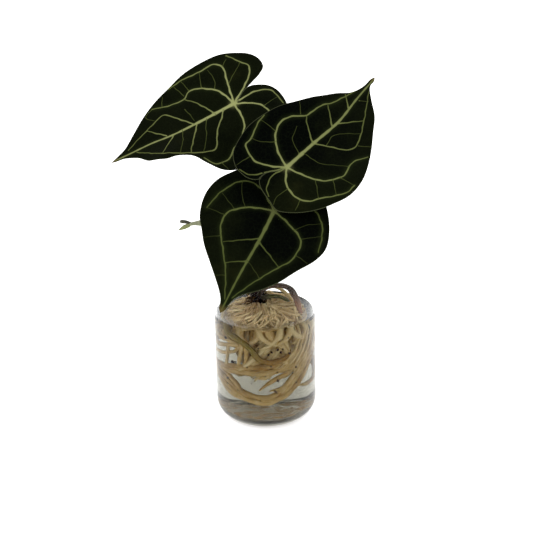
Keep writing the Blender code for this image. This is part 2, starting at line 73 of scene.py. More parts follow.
# Plant
CROWN_AT = (-6.0, 3.0, 123.0)
CROWN_RADII = (8.0, 7.5, 9.0)
NECK_AT = (-5.0, 3.0, 110.5)
NECK_RADII = (14.0, 13.0, 9.5)
HEART_AT = (5.0, 4.0, 76.0)
HEART_RADII = (24.0, 24.0, 29.0)
CORE_AT = (-2.0, 2.0, 95.0)
CORE_RADII = (32.0, 32.0, 15.0)
MOUND_AT = (-2.0, 1.0, 101.0)
MOUND_RADII = (35.0, 35.0, 10.0)
BLADE_TOP = 0.35
BLADE_UNDER = 0.3
VEIN_CREST = 0.4
RIB_DEPTH = 0.75
QUILT = 0.7
QUILT_REACH = 7.0
RIM_WIDTH = 0.9
VEIN_FADE = 1.7
VEIN_SWAY = 0.19
BLADE_STEP = 1.6
PETIOLE_R = 2.1
PULVINUS_R = 2.7
BROWN_TO = 136.0
BROWN_FADE = 10.0
WALL_REACH = 40.0
ROUND_END = 0.4

# Steps along the thick and the thin roots, and how many of each kind of thin root
# and of the crown's scales and fibres there are
ROOT_STEP = 2.2
THIN_STEP = 2.6
MOUND_ROOTS = 150
UNDER_MOUND_ROOTS = 44
INNER_ROOTS = 70
FRONT_ROOTS = 24
CLINGING_ROOTS = 64
CROWN_SCALES = 25
CROWN_FIBRES = 60

# Each kind of vein: half width at its start and end, and how pale it is at both
VEIN_KINDS = {
    "midrib": (1.9, 0.65, 1.0, 0.7),
    "main": (0.98, 0.57, 0.95, 0.55),
    "side": (0.75, 0.48, 0.7, 0.45),
    "cross": (0.42, 0.32, 0.3, 0.2),
}

# Leaves, each in its own plane: u across and v towards the tip. A swell (u, v,
# height, spread) waves the blade, and a patch of painted light and shade (u, v, strength,
# spread) makes its velvet lighter or darker about one place, standing in for how light
# falls on the blade and where the leaves above shade it.
# Each leaf's number after its tip scales how pale its veins and its junction are; it is lower on
# the leaves that lie in the shade of the others, so it paints shade on them.
LEAF_BACK = {
    "junction": (-25.5, 76.0, 300.0), "tip": (-152.0, 68.3, 248.8), "painted_light": 0.9,
    "rise": 50.0, "turn": -25.0, "tip_droop": 9.0,
    "swells": [(-44, 80, 14, 21), (-62, 14, -16, 21), (52, 60, -5, 22)],
    "painted_shading_patches": [(0, 60, 0.45, 70), (45, -20, 0.3, 22)],
    "right": [(3, -5.2), (9.7, -12.2), (13, -18), (17.5, -25), (23, -33), (32, -40), (44, -38),
        (54, -27), (61, -8), (63, 12), (61, 38), (54, 58), (46, 74), (33, 91), (19, 106), (8, 118),
        (3.8, 127), (1.7, 133)],
    "left": [(2.9, -5.3), (9.6, -12.3), (12.9, -18.1), (13, -26), (8, -38), (-5, -46), (-26, -48),
        (-46, -41), (-62, -22), (-71, 4), (-68, 30), (-56, 44), (-46, 54), (-42, 68), (-41, 80),
        (-29, 96), (-12, 109), (-4, 121), (-1.9, 131)],
    "midrib": [
        [(0, 0), (-4, 43), (-6, 71), (-3, 94), (0, 132)]],
    "main": [
        [(0, 0), (20, 9), (32, 23), (38, 37), (32, 46), (33, 61), (38, 80)],
        [(0, 0), (24, -1), (46, -2), (54, 7), (53, 22), (55, 43), (53, 58)],
        [(0, 0), (-24, -3), (-37, 3), (-46, 16), (-55, 25), (-58, 37), (-50, 45)],
        [(0, 0), (-10, -20), (-23, -29), (-42, -31), (-56, -18), (-62, 0)],
        [(0, 0), (19, -19), (35, -27), (45, -20), (57, -10)],
        [(0, 0), (5, -24), (0, -39), (-19, -45)]],
    "side": [
        [(-2, 21), (18, 34), (32, 46)], [(-4, 44), (15, 61), (24, 71), (16, 89), (4, 115)],
        [(-3, 74), (14, 91)],
        [(-1.4, 12), (-10, 16), (-24, 25), (-41, 32), (-43, 47), (-39, 67), (-31, 82), (-16, 96),
         (-4, 108)], [(-6, 42), (-32, 52), (-42, 55)], [(-7, 67), (-31, 81)]],
    "cross": [
        [(35, 25), (53, 22)], [(38, 38), (55, 43)], [(36, 45), (54, 52)],
        [(26, 13), (36, 10), (50, 13)], [(25, -2), (38, -15), (44, -20)], [(47, -2), (53, -8)],
        [(-17, -26), (-10, -41)], [(-4, 31), (-14, 34), (-27, 37), (-43, 44)],
        [(-5, 57), (-25, 60), (-40, 65)], [(38, 80), (31, 89), (22, 81)],
        [(18, 48), (9, 45), (1, 43)], [(35, 70), (47, 66)], [(-50, 20), (-64, 12)],
        [(-57, 32), (-66, 28)], [(-42, -31), (-46, -40)]],
}
LEAF_RIGHT = {
    "junction": (24.0, -8.0, 260.2), "tip": (114.0, 79.0, 328.0), "painted_light": 0.74,
    "rise": 50.0, "turn": 4.0, "tip_droop": 8.0,
    "swells": [(50, 70, -5, 21), (-48, 55, 4, 21)],
    "painted_shading_patches": [(-42, 12, -1.0, 26), (-25, 30, -0.4, 25), (28, -24, 0.75, 22), (58, 25, 0.4, 22),
        (20, 100, 0.3, 30)],
    "right": [(-2.6, -5.2), (-6.9, -10.6), (-11.2, -16.4), (-12.7, -22), (-12.4, -26.5), (-6, -32),
        (8, -37), (21, -41), (34, -35), (48, -24), (60, -6), (66, 10), (66, 28), (61, 45), (51, 66),
        (39, 86), (29, 102), (16, 115), (6.6, 125), (3.2, 131), (2.6, 137.6)],
    "left": [(-2.7, -5.1), (-7.0, -10.5), (-11.3, -16.3), (-12.83, -22), (-13, -26.2), (-18, -30),
        (-26, -32), (-38, -30), (-49, -20), (-54, -2), (-55, 15), (-50, 38), (-40, 59), (-28, 82),
        (-18, 97), (-7, 110), (-2.6, 120), (-1.3, 128), (-1.5, 137)],
    "midrib": [
        [(0, 0), (3, 38), (6, 74), (3, 108), (1, 139)]],
    "main": [
        [(0, 0), (-15, 7), (-27, 17), (-34, 30), (-32, 44), (-21, 58), (-18, 76), (-11, 90),
         (-4, 115)], [(0, 0), (20, 3), (37, 9), (48, 25), (45, 43), (52, 59)],
        [(0, 0), (-15, -10), (-29, -14), (-44, -7), (-45, 3), (-50, 18), (-51, 31)],
        [(0, 0), (9, -13), (22, -20), (37, -19), (47, -8), (61, 9), (63, 22)]],
    "side": [
        [(3, 37), (-14, 50), (-21, 58)], [(5, 65), (-13, 82)], [(4, 93), (-8, 104)],
        [(6, 39), (32, 52), (35, 66), (24, 91), (6, 124)], [(8, 73), (24, 90)],
        [(0, 0), (-13, -18), (-22, -28), (-33, -30)], [(0, 0), (-5, -15), (-2, -28), (5, -34)]],
    "cross": [
        [(-25, 15), (-36, 5), (-45, 3)], [(-32, 24), (-50, 24)], [(-1, 20), (-14, 27), (-20, 41)],
        [(-26, 55), (-35, 65)], [(5, 23), (23, 23), (45, 37)], [(30, 5), (45, -10)],
        [(43, 15), (56, 3)], [(47, 21), (63, 22)], [(15, -18), (12, -32), (14, -38)],
        [(7, 108), (14, 112)], [(14, 43), (13, 59), (30, 76)], [(38, 64), (47, 71)],
        [(32, -21), (35, -33)], [(-34, -14), (-38, -28)]],
}
LEAF_FRONT = {
    "junction": (11.3, -30.0, 225.0), "tip": (-40.7, -109.0, 159.5), "painted_light": 0.46,
    "rise": 51.0, "turn": -2.0, "tip_droop": 7.0,
    "swells": [(50, 30, -4, 21), (-50, 40, 3, 21)],
    "painted_shading_patches": [(18, -12, -1.0, 16), (-16, 18, -1.0, 18), (14, 78, 0.6, 24), (52, 20, 0.4, 18),
        (-30, 70, 0.3, 20)],
    "right": [(2, -7), (6, -18), (11, -28), (20, -36), (32, -38), (44, -33), (56, -19), (64, -3),
        (66.5, 14), (62, 33), (53, 47), (43.5, 60.5), (30.5, 74.5), (18.5, 87), (9.5, 97), (5, 104),
        (3, 111)],
    "left": [(-3, -7), (-6, -18), (-10, -28), (-18, -36), (-28, -37), (-38, -30), (-49, -15),
        (-58, 2), (-63, 20), (-60, 35), (-50, 50), (-38, 67), (-27, 79), (-14, 89), (-6.5, 97),
        (-4, 104), (-2.8, 111)],
    "midrib": [
        [(0, 0), (-1, 32), (0, 72), (0, 111)]],
    "main": [
        [(0, 0), (23, 7), (39, 20), (38, 37), (25, 58), (13, 77), (2, 101)],
        [(0, 0), (-20, 9), (-38, 22), (-39, 43), (-28, 58), (-15, 77), (-4, 97)],
        [(0, 0), (23, -17), (41, -16), (54, 4), (59, 24)],
        [(0, 0), (-18, -14), (-34, -15), (-47, -4), (-54, 10), (-58, 27)]],
    "side": [
        [(0, 33), (15, 42), (29, 50)], [(-1, 58), (18, 69)], [(-1, 36), (-30, 54)],
        [(0, 0), (12, -20), (26, -31), (42, -26)], [(0, 0), (-10, -20), (-22, -30), (-38, -24)]],
    "cross": [
        [(35, 14), (53, 4)], [(26, 9), (36, -4), (41, -16)], [(40, 23), (59, 24)],
        [(34, 45), (46, 53)], [(-37, 20), (-54, 10)], [(-27, 13), (-34, 5), (-47, -3)],
        [(-19, 71), (-8, 63), (0, 58)], [(12, 80), (20, 84)], [(-40, 38), (-54, 42)]],
}
LEAVES = {"leaf_back": LEAF_BACK, "leaf_right": LEAF_RIGHT, "leaf_front": LEAF_FRONT}

# Petioles run from the crown to just under each junction.
PETIOLES = {
    "petiole_back": ("leaf_back", [(-9, 8, 124), (-12, 16, 160), (-16, 33, 215), (-21, 60, 270)]),
    "petiole_right": ("leaf_right", [(-3, 5, 124), (1, 5, 155), (12, 11, 205), (22, 12, 238)]),
    "petiole_front": ("leaf_front", [(-5, -1, 124), (-3, -3, 150), (4, -9, 185), (10, -15, 207)]),
}

# Roots by polar places about the glass's axis: (degrees to the right of the
# front, distance from the axis, height), each after its radius and its tone,
# from 0 for cream to 1 for brown. The first is the olive one at the front.
ROOTS = [
    (3.0, 0.9, [(-112, 24, 113), (-96, 38, 113), (-76, 42.5, 110), (-62, 42.5, 105), (-56, 42, 100),
        (-49, 41.5, 97), (-37, 41, 95), (-27, 41, 92), (-18, 41, 87), (-13, 41, 81), (-6, 41, 76),
        (5, 40.5, 74), (18, 40, 75), (30, 38, 77), (44, 33, 84)]),
    (2.9, 0.4, [(-150, 18, 104), (-128, 34, 97), (-113, 42, 84), (-106, 43, 70), (-102, 42.5, 58),
        (-94, 40, 50), (-79, 37.5, 43), (-52, 37, 38), (-24, 37, 31), (-4, 37, 29), (10, 37, 31),
        (24, 37, 36), (38, 37, 47), (53, 37, 57), (73, 37, 68), (90, 36, 80), (108, 31, 92),
        (120, 15, 102)]),
    (2.7, 0.5, [(-160, 18, 100), (-134, 36, 92), (-118, 42, 78), (-109, 43, 66), (-102, 42, 57),
        (-84, 38, 50), (-55, 36.5, 44), (-25, 37, 37), (-4, 37, 34.5), (14, 37, 38), (30, 37, 46),
        (45, 37, 57), (62, 36.5, 66), (80, 35, 78), (96, 28, 92), (110, 14, 102)]),
    (2.8, 0.45, [(-140, 20, 104), (-122, 36, 96), (-108, 42.5, 82), (-102, 43, 70), (-96, 41.5, 61),
        (-84, 38.5, 57), (-57, 37, 57.5), (-30, 37, 60), (-1, 37, 62), (20, 37, 63), (39, 37, 66),
        (58, 37, 74), (78, 36, 84), (95, 29, 96), (105, 14, 104)]),
    (2.7, 0.55, [(-108, 42.5, 74), (-100, 42.5, 64), (-90, 40, 58.5), (-79, 38, 59),
        (-65, 37, 61.5), (-50, 37, 64.5), (-28, 37, 66), (0, 36.8, 68), (18, 36.5, 69.5),
        (36, 36.5, 73), (52, 36, 82), (64, 31, 92), (72, 16, 102)]),
    (2.5, 0.5, [(70, 14, 98), (68, 27, 86), (52, 35, 72), (32, 37, 59), (14, 36.8, 55), (3, 37, 50),
        (-10, 37, 42)]),
    (2.4, 0.3, [(-130, 14, 108), (-115, 29, 102), (-98, 36, 92), (-82, 37, 88), (-62, 37, 90),
        (-45, 36, 89), (-30, 31, 84), (-20, 22, 80)]),
    (2.3, 0.35, [(-140, 14, 96), (-120, 30, 84), (-102, 36.5, 80), (-84, 37.5, 80), (-66, 37.5, 83),
        (-52, 37, 86.5), (-42, 36, 88.5), (-34, 29, 94), (-28, 14, 102)]),
    (1.9, 0.3, [(-56, 14, 104), (-57, 28, 98), (-58, 36, 88), (-60, 38, 77), (-61, 38, 68),
        (-66, 37, 60), (-76, 34, 52)]),
    (2.4, 0.4, [(-98, 40, 56), (-84, 36.5, 59), (-66, 36, 60.5), (-50, 36, 61.5), (-30, 35.5, 64),
        (-10, 34, 68)]),
    (2.6, 0.25, [(-50, 12, 100), (-44, 26, 92), (-30, 34, 84), (-20, 35, 92), (-6, 34, 99),
        (14, 35, 102), (28, 36, 94), (34, 35, 83), (34, 29, 72)]),
    (2.5, 0.5, [(150, 14, 80), (130, 29, 62), (112, 35, 47), (96, 37, 39), (80, 37, 37.5),
        (64, 37, 39.5), (46, 37, 43)]),
    (2.6, 0.4, [(60, 14, 104), (64, 27, 96), (68, 35, 82), (58, 37, 64), (42, 37, 52), (22, 37, 44),
        (4, 36, 41)]),
    (2.6, 0.35, [(-150, 20, 102), (-130, 36, 92), (-114, 42, 76), (-106, 43, 62), (-98, 41, 52),
        (-86, 38, 46), (-71, 38, 40), (-53, 38, 34.5), (-35, 38, 32), (-18, 38, 31),
        (6, 38, 32.5)]),
    (2.5, 0.5, [(-150, 20, 98), (-126, 38, 86), (-112, 42.5, 74), (-104, 43, 65), (-96, 41, 60),
        (-84, 38, 57.5), (-62, 38, 53), (-46, 38, 47), (-38, 38, 41), (-28, 38, 36),
        (-10, 38, 34)]),
    (2.8, 0.5, [(-8, 38, 33), (10, 38, 32.5), (28, 38, 36), (47, 38, 45), (67, 38, 57),
        (88, 38, 71), (99, 37, 84), (110, 30, 96)]),
    (2.4, 0.3, [(20, 38, 40), (34, 38, 50), (46, 38, 59.5), (60, 38, 69), (71, 38, 82),
        (78, 33, 94), (84, 22, 104)]),
    (2.5, 0.4, [(-66, 30, 54), (-54, 34, 59), (-40, 36, 63), (-18, 37.5, 60), (8, 38, 62),
        (28, 38, 67), (44, 38, 74)]),
    (2.6, 0.25, [(-66, 20, 106), (-58, 31, 104), (-50, 36, 100), (-40, 37, 97), (-30, 36.5, 94),
        (-22, 33, 88), (-16, 26, 80)]),
    (2.3, 0.45, [(-50, 24, 106), (-42, 34, 103), (-36, 36.5, 98), (-34, 37, 92), (-38, 36.5, 86),
        (-44, 35, 80)]),
    (1.9, 0.3, [(-116, 38, 72), (-104, 41.5, 70), (-90, 40, 71), (-78, 39, 72.5), (-66, 38, 75),
        (-54, 37, 78.5), (-45, 37, 81), (-37, 36, 88), (-30, 27, 96)]),
    (2.4, 0.3, [(-32, 26, 98), (-35, 35, 90), (-36, 37, 80), (-38, 37, 72), (-42, 37, 65),
        (-50, 36, 60)]),
    (2.6, 0.4, [(-18, 26, 98), (-24, 35, 90), (-28, 36.5, 80), (-30, 37, 72), (-36, 36.5, 66)]),
    (2.9, 0.25, [(-14, 18, 108), (-6, 32, 105), (2, 36, 101), (14, 36.5, 94), (26, 36.5, 86),
        (35, 36, 79), (46, 34, 70)]),
]
# Dark scraps of dead bark caught on the roots: degrees, height and half size
DEAD_SCRAPS = [(-62, 92, 1.1), (-49, 69, 1.3), (-44, 70, 0.9), (-42, 64, 0.7), (-60, 49, 0.8),
    (4, 82, 1.2), (8, 84, 1.0), (17, 86, 1.2), (21, 83, 1.1), (24, 86, 0.8), (33, 80, 1.2),
    (36, 77, 0.8), (16, 53, 1.4), (12, 42, 1.0), (14, 40, 0.8), (-12, 59, 0.6), (-1, 59, 0.7),
    (-41, 40, 0.8), (-20, 50, 0.6), (-8, 32, 0.7), (48, 92, 0.8), (56, 84, 0.7), (44, 63, 0.8),
    (38, 58, 0.7), (60, 74, 0.6)]
# Beds of silt on the glass's floor: centre and half sizes
SILT = [(-2, -22, 34, 19), (-33, -2, 11, 17), (34, -3, 11, 16), (-12, -2, 14, 6), (20, 2, 12, 6)]
ARCHING_ROOT = [(-10, 12, 106), (-10, 13, 118), (-5, 12, 124.5), (-1, 12, 128), (4, 12, 130.2),
    (10, 12, 130.6), (15, 12, 129), (20.5, 12, 124.6), (25.5, 11, 119), (29, 9, 112), (33, 7, 98)]
AERIAL_ROOT = [(-4, 1, 126), (-1.5, 0, 131.8), (4, 0, 135.4), (9, 0, 136.7), (14, 0, 137),
    (20.2, 0, 136), (25.6, 0, 132.8), (29.6, -1, 127.3), (32.3, -3, 120.5), (34, -5.5, 112.5),
    (34.6, -7, 105), (35, -8, 95)]
AERIAL_ROOT_R = [1.6, 1.7, 2.0, 2.2, 2.4, 2.7, 2.9, 3.0, 3.3, 3.4, 3.2, 2.0]
GREEN_ROOT = [(-3, -3.5, 125.6), (3.5, -4.5, 127), (8, -4.5, 127.6), (14, -4, 127), (19, -4, 125),
    (24.5, -3.5, 121.4)]

# Flower stalk over the rim at the left, with its pointed bract and short spadix
FLOWER_STALK = [(-11, 3, 124), (-15, 4, 140), (-23, 3, 170), (-33, 2, 193), (-42, 1, 202.6),
    (-50, 0, 203.6), (-58, 0, 203.7), (-66, 0, 203.2), (-70, 0, 202.6)]
FLOWER_STALK_R = [2.4, 2.4, 2.4, 2.5, 2.8, 3.2, 3.3, 1.9, 1.7]
BRACT = [(-70, 0, 202.2), (-72, 0, 201.2), (-75.8, 0, 199.6), (-78.9, 0, 198), (-81.2, 0, 197)]
BRACT_R = [1.6, 2.1, 2.2, 1.3, 0.35]
SPADIX = [(-69.4, 0.3, 203.4), (-72, 0.4, 204.3), (-74.2, 0.5, 204.9), (-76.8, 0.5, 205.2),
    (-79.3, 0.5, 205.5)]
SPADIX_R = [1.2, 1.6, 1.75, 1.85, 1.5]


# Camera, lights and floor


def link(name, data):
    obj = bpy.data.objects.new(name, data)
    bpy.context.scene.collection.objects.link(obj)
    return obj


def make_camera():
    camera = link("camera", bpy.data.cameras.new("camera"))
    camera.data.sensor_fit = "HORIZONTAL"
    camera.data.sensor_width = SENSOR_WIDTH
    camera.data.lens = FOCAL_PIXELS / PHOTO_WIDTH * SENSOR_WIDTH
    camera.data.clip_start = 0.01
    camera.matrix_world = (Matrix.Translation(CAMERA_AT)
                           @ Matrix.Rotation(math.radians(90.0 - CAMERA_TILT), 4, "X")
                           @ Matrix.Rotation(math.radians(CAMERA_ROLL), 4, "Z"))
    bpy.context.scene.camera = camera


def make_softbox(name, place, size, power):
    light = bpy.data.lights.new(name, "AREA")
    light.shape = "DISK"
    light.size = size
    light.energy = power
    box = link(name, light)
    box.location = place
    box.rotation_euler = (LIGHT_AIM - Vector(place)).to_track_quat("-Z", "Y").to_euler()


def make_studio():
    scene = bpy.context.scene
    scene.view_settings.view_transform = "Standard"
    scene.cycles.max_bounces = 32
    scene.cycles.transmission_bounces = 32
    scene.cycles.glossy_bounces = 8
    scene.world = bpy.data.worlds.new("white_studio")
    scene.world.use_nodes = True
    background = scene.world.node_tree.nodes["Background"].inputs
    background["Color"].default_value = (1.0, 1.0, 1.0, 1.0)
    background["Strength"].default_value = WORLD_LIGHT
    make_softbox("softbox_left", (-0.9, -0.7, 1.3), 0.9, 5.0)
    make_softbox("softbox_top", (0.5, 0.4, 1.5), 1.0, 4.0)


# Shader maths


class Value:
    """A number, colour or vector in a finish. Sums on a number add Math nodes."""

    def __init__(self, finish, socket):
        self.finish = finish
        self.socket = socket

    def __add__(self, other):
        return self.finish.maths("ADD", self, other)

    def __sub__(self, other):
        return self.finish.maths("SUBTRACT", self, other)

    def __rsub__(self, other):
        return self.finish.maths("SUBTRACT", other, self)

    def __mul__(self, other):
        return self.finish.maths("MULTIPLY", self, other)

    __radd__ = __add__
    __rmul__ = __mul__


class Finish:
    """A material on one Principled shader."""

    def __init__(self, name, **constants):
        self.material = bpy.data.materials.new(name)
        self.material.use_nodes = True
        self.tree = self.material.node_tree
        self.shader = self.tree.nodes["Principled BSDF"]
        for socket, value in constants.items():
            self.shader.inputs[socket.replace("_", " ")].default_value = value

    def add(self, kind, sockets, out=0, **settings):
        """A node with its settings made first, then its sockets' values or links."""
        node = self.tree.nodes.new(kind)
        for setting, value in settings.items():
            setattr(node, setting, value)
        self.join(node, sockets)
        return Value(self, node.outputs[out])

    def join(self, node, sockets):
        for key, value in sockets.items():
            if isinstance(value, Value):
                self.tree.links.new(value.socket, node.inputs[key])
            else:
                node.inputs[key].default_value = value

    def maths(self, operation, *values):
        return self.add("ShaderNodeMath", dict(enumerate(values)), operation=operation)

    def step(self, value, low, high):
        """0 below low and 1 above high, with a soft rise between them."""
        return self.add("ShaderNodeMapRange", {"Value": value, "From Min": low, "From Max": high},
                        interpolation_type="SMOOTHSTEP")

    def mix(self, factor, first, second):
        return self.add("ShaderNodeMix", {0: factor, 6: first, 7: second}, 2, data_type="RGBA")

    def mask(self, name):
        """A number kept at each point of the mesh."""
        return self.add("ShaderNodeAttribute", {}, "Fac", attribute_name=name)

    def place(self, stretch=(1.0, 1.0, 1.0)):
        at = self.add("ShaderNodeTexCoord", {}, "Object")
        return self.add("ShaderNodeVectorMath", {0: at, 1: stretch}, operation="MULTIPLY")

    def noise(self, size, detail=3.0, stretch=(1.0, 1.0, 1.0)):
        """Cloudy noise with lumps of about the size in millimetres."""
        return self.add("ShaderNodeTexNoise", {"Vector": self.place(stretch),
                                               "Scale": 1.0 / (size * MM), "Detail": detail})

    def cells(self, size, feature="F1", out="Distance"):
        return self.add("ShaderNodeTexVoronoi", {"Vector": self.place(),
                                                 "Scale": 1.0 / (size * MM)}, out, feature=feature)

    def bump(self, height, depth, strength=1.0):
        """Relief of the depth in millimetres."""
        return self.add("ShaderNodeBump", {"Height": height, "Distance": depth * MM,
                                           "Strength": strength})

    def absorb(self, colour, density):
        """The tint that a clear body takes on with its depth."""
        soak = self.add("ShaderNodeVolumeAbsorption", {"Color": colour, "Density": density})
        self.join(self.tree.nodes["Material Output"], {"Volume": soak})

    def done(self, **sockets):
        self.join(self.shader, {key.replace("_", " "): value for key, value in sockets.items()})
        return self.material


def srgb(red, green, blue):
    """A colour given as it shows on a screen, 0 to 255."""
    def light(level):
        level /= 255.0
        return level / 12.92 if level <= 0.04045 else ((level + 0.055) / 1.055) ** 2.4
    return (light(red), light(green), light(blue), 1.0)


# Finishes


def floor_finish():
    f = Finish("studio_floor", Roughness=0.9, Specular_IOR_Level=0.0,
               Emission_Color=(1.0, 1.0, 1.0, 1.0), Emission_Strength=0.6)
    tone = f.mix(f.noise(900.0), (0.93, 0.93, 0.93, 1.0), (0.95, 0.95, 0.95, 1.0))
    return f.done(Base_Color=tone)


def glass_finish():
    f = Finish("clear_glass", Transmission_Weight=1.0, IOR=1.48,
               Specular_Tint=(0.03, 0.03, 0.03, 1.0))
    tint = f.mix(f.noise(60.0), (0.975, 0.985, 0.98, 1.0), (0.985, 0.99, 0.988, 1.0))
    smear = f.step(f.noise(14.0, 4.0, (1.0, 1.0, 0.5)), 0.62, 0.9)
    f.absorb((0.25, 0.22, 0.12, 1.0), 20.0)
    return f.done(Base_Color=tint, Roughness=smear * 0.03)


def water_finish():
    f = Finish("water", Transmission_Weight=1.0, IOR=1.33, Specular_Tint=(0.1, 0.1, 0.1, 1.0))
    tint = f.mix(f.noise(30.0), (0.97, 0.975, 0.96, 1.0), (0.985, 0.985, 0.975, 1.0))
    f.absorb((0.35, 0.33, 0.25, 1.0), 25.0)
    return f.done(Base_Color=tint, Roughness=f.step(f.noise(9.0), 0.6, 0.9) * 0.02)


def leaf_finish():
    """Near-black velvet with pale raised veins, a faint net and a painted highlight along the
    margin.
    """
    f = Finish("leaf_velvet", Specular_IOR_Level=0.01)
    cloud = f.noise(22.0, 4.0)
    fleck = f.noise(3.0, 2.0)
    # The shading patches paint light and shade on the velvet; the cloud and the flecks give its own
    # uneven tone.
    tone = f.step(f.mask("painted_shading") * 0.42 + cloud * 0.45 + fleck * 0.05 + 0.05, 0.05, 0.95)
    blade = f.mix(f.step(tone, 0.0, 0.5), srgb(1, 2, 1), srgb(8, 11, 3))
    blade = f.mix(f.step(tone, 0.5, 1.0), blade, srgb(28, 29, 9))
    net = 1.0 - f.step(f.cells(4.2, "DISTANCE_TO_EDGE"), 0.0, 0.07)
    blade = f.mix(net * 0.03, blade, srgb(58, 70, 38))
    blade = f.mix(f.mask("halo") * 0.42, blade, srgb(29, 36, 14))
    # The veins' paleness carries each leaf's painted shade.
    vein = f.step(f.mask("vein"), 0.22, 0.66) * f.mask("pale")
    vein_tone = f.mix(f.step(f.mask("pale"), 0.2, 0.95), srgb(104, 114, 58), srgb(134, 138, 90))
    top = f.mix(vein, blade, vein_tone)
    top = f.mix(f.mask("heart") * 0.65, top, srgb(134, 136, 88))
    under = f.mix(cloud, srgb(58, 76, 36), srgb(74, 92, 50))
    under = f.mix(vein, under, srgb(124, 138, 88))
    under = f.mix(net * 0.25, under, srgb(100, 118, 66))
    colour = f.mix(f.mask("under"), top, under)
    # Painted highlight along the margin
    colour = f.mix(f.step(f.mask("rim"), 0.15, 0.75) * 0.4, colour, srgb(84, 88, 62))
    colour = f.mix(f.mask("dry") * 0.85, colour, srgb(84, 74, 42))
    relief = f.bump(fleck * 0.5 + net * -0.5 + f.noise(0.9, 2.0) * 0.35, 0.18, 0.35)
    rough = 0.62 - vein * 0.14 + fleck * 0.1
    return f.done(Base_Color=colour, Roughness=rough, Normal=relief)


def stalk_finish(name, young, old, streak=0.25):
    """Satin green stalk, streaked lengthwise, that browns where the mask says so."""
    f = Finish(name, Specular_IOR_Level=0.15)
    lines = f.noise(1.6, 3.0, (1.0, 1.0, 0.08))
    colour = f.mix(f.noise(12.0), young, old)
    colour = f.mix(f.step(lines, 0.45, 0.7) * streak, colour, srgb(150, 156, 112))
    colour = f.mix(f.mask("brown") * 0.95, colour, srgb(30, 17, 14))
    return f.done(Base_Color=colour, Roughness=0.42 + lines * 0.2,
                  Normal=f.bump(lines + f.noise(2.5) * 0.6, 0.15, 0.7))


def crown_finish():
    """Papery near-black scales with a purple cast, brown at the right, pale torn edges."""
    f = Finish("crown_scales", Specular_IOR_Level=0.03)
    fibre = f.noise(1.2, 4.0, (1.0, 1.0, 0.25))
    colour = f.mix(f.noise(4.0), srgb(8, 2, 4), srgb(22, 10, 13))
    colour = f.mix(f.step(fibre, 0.58, 0.8) * 0.3, colour, srgb(60, 38, 30))
    colour = f.mix(f.mask("brown") * 0.75, colour, srgb(104, 74, 34))
    colour = f.mix(f.step(f.mask("rim"), 0.4, 1.0) * 0.35, colour, srgb(96, 66, 46))
    return f.done(Base_Color=colour, Roughness=0.5 + fibre * 0.3,
                  Normal=f.bump(fibre, 0.3))


def root_finish():
    """Moist root: cream to tan by its tone, dusty bands, dark specks and fine hairs, with beds of
    silt that give off a faint painted light.
    """
    f = Finish("moist_root", Specular_IOR_Level=0.35, IOR=1.4)
    cloud = f.noise(7.0, 4.0)
    skin = f.noise(1.3, 3.0)
    age = f.step(f.mask("tone") * 0.75 + cloud * 0.5 + skin * 0.15 - 0.2, 0.0, 0.85)
    colour = f.mix(f.step(age, 0.0, 0.5), srgb(240, 219, 166), srgb(216, 184, 122))
    colour = f.mix(f.step(age, 0.45, 1.0), colour, srgb(166, 122, 62))
    height = f.add("ShaderNodeSeparateXYZ", {"Vector": f.place()}, "Z")
    above_water = f.step(height, 100 * MM, 108 * MM)
    colour = f.mix(above_water * 0.24, colour, srgb(226, 214, 190))
    colour = f.mix(f.mask("olive"), colour, srgb(142, 122, 52))
    silt = f.mix(f.noise(9.0, 4.0), srgb(230, 214, 184), srgb(226, 174, 106))
    colour = f.mix(f.mask("silt"), colour, silt)
    colour = f.mix(f.step(skin, 0.58, 0.8) * 0.3, colour, srgb(240, 228, 190))
    pick = f.add("ShaderNodeSeparateColor", {"Color": f.cells(5.5, out="Color")})
    speck = (1.0 - f.step(f.cells(5.5), 0.1, 0.24)) * f.step(pick, 0.82, 0.84)
    colour = f.mix(speck * 0.95, colour, srgb(34, 20, 8))
    colour = f.mix(f.step(f.noise(2.2, 3.0), 0.66, 0.74) * 0.5, colour, srgb(92, 60, 28))
    colour = f.mix(f.mask("dead"), colour, f.mix(skin, srgb(20, 12, 8), srgb(84, 54, 30)))
    # Painted light: the silt glows faintly, standing in for light on the glass's floor.
    painted_light = f.mix(f.mask("silt"), srgb(0, 0, 0), srgb(236, 200, 148))
    thin = f.mask("silt") * (0.5 + f.step(f.noise(9.0, 4.0, (1.0, 1.6, 1.0)), 0.3, 0.7) * 0.45)
    return f.done(Base_Color=colour, Roughness=0.36 + skin * 0.25, Alpha=1.0 - thin,
                  Emission_Color=painted_light, Emission_Strength=0.11,
                  Normal=f.bump(skin + cloud * 0.6, 0.25, 0.8))


def aerial_finish():
    f = Finish("aerial_root_skin", Specular_IOR_Level=0.2)
    rings = f.noise(1.5, 3.0)
    colour = f.mix(f.noise(9.0), srgb(56, 44, 38), srgb(82, 62, 50))
    colour = f.mix(f.mask("tone") * 0.9, colour, srgb(160, 114, 84))
    colour = f.mix(f.step(rings, 0.55, 0.75) * 0.3, colour, srgb(104, 88, 78))
    return f.done(Base_Color=colour, Roughness=0.42 + rings * 0.2, Normal=f.bump(rings, 0.2, 0.7))


# Mesh code


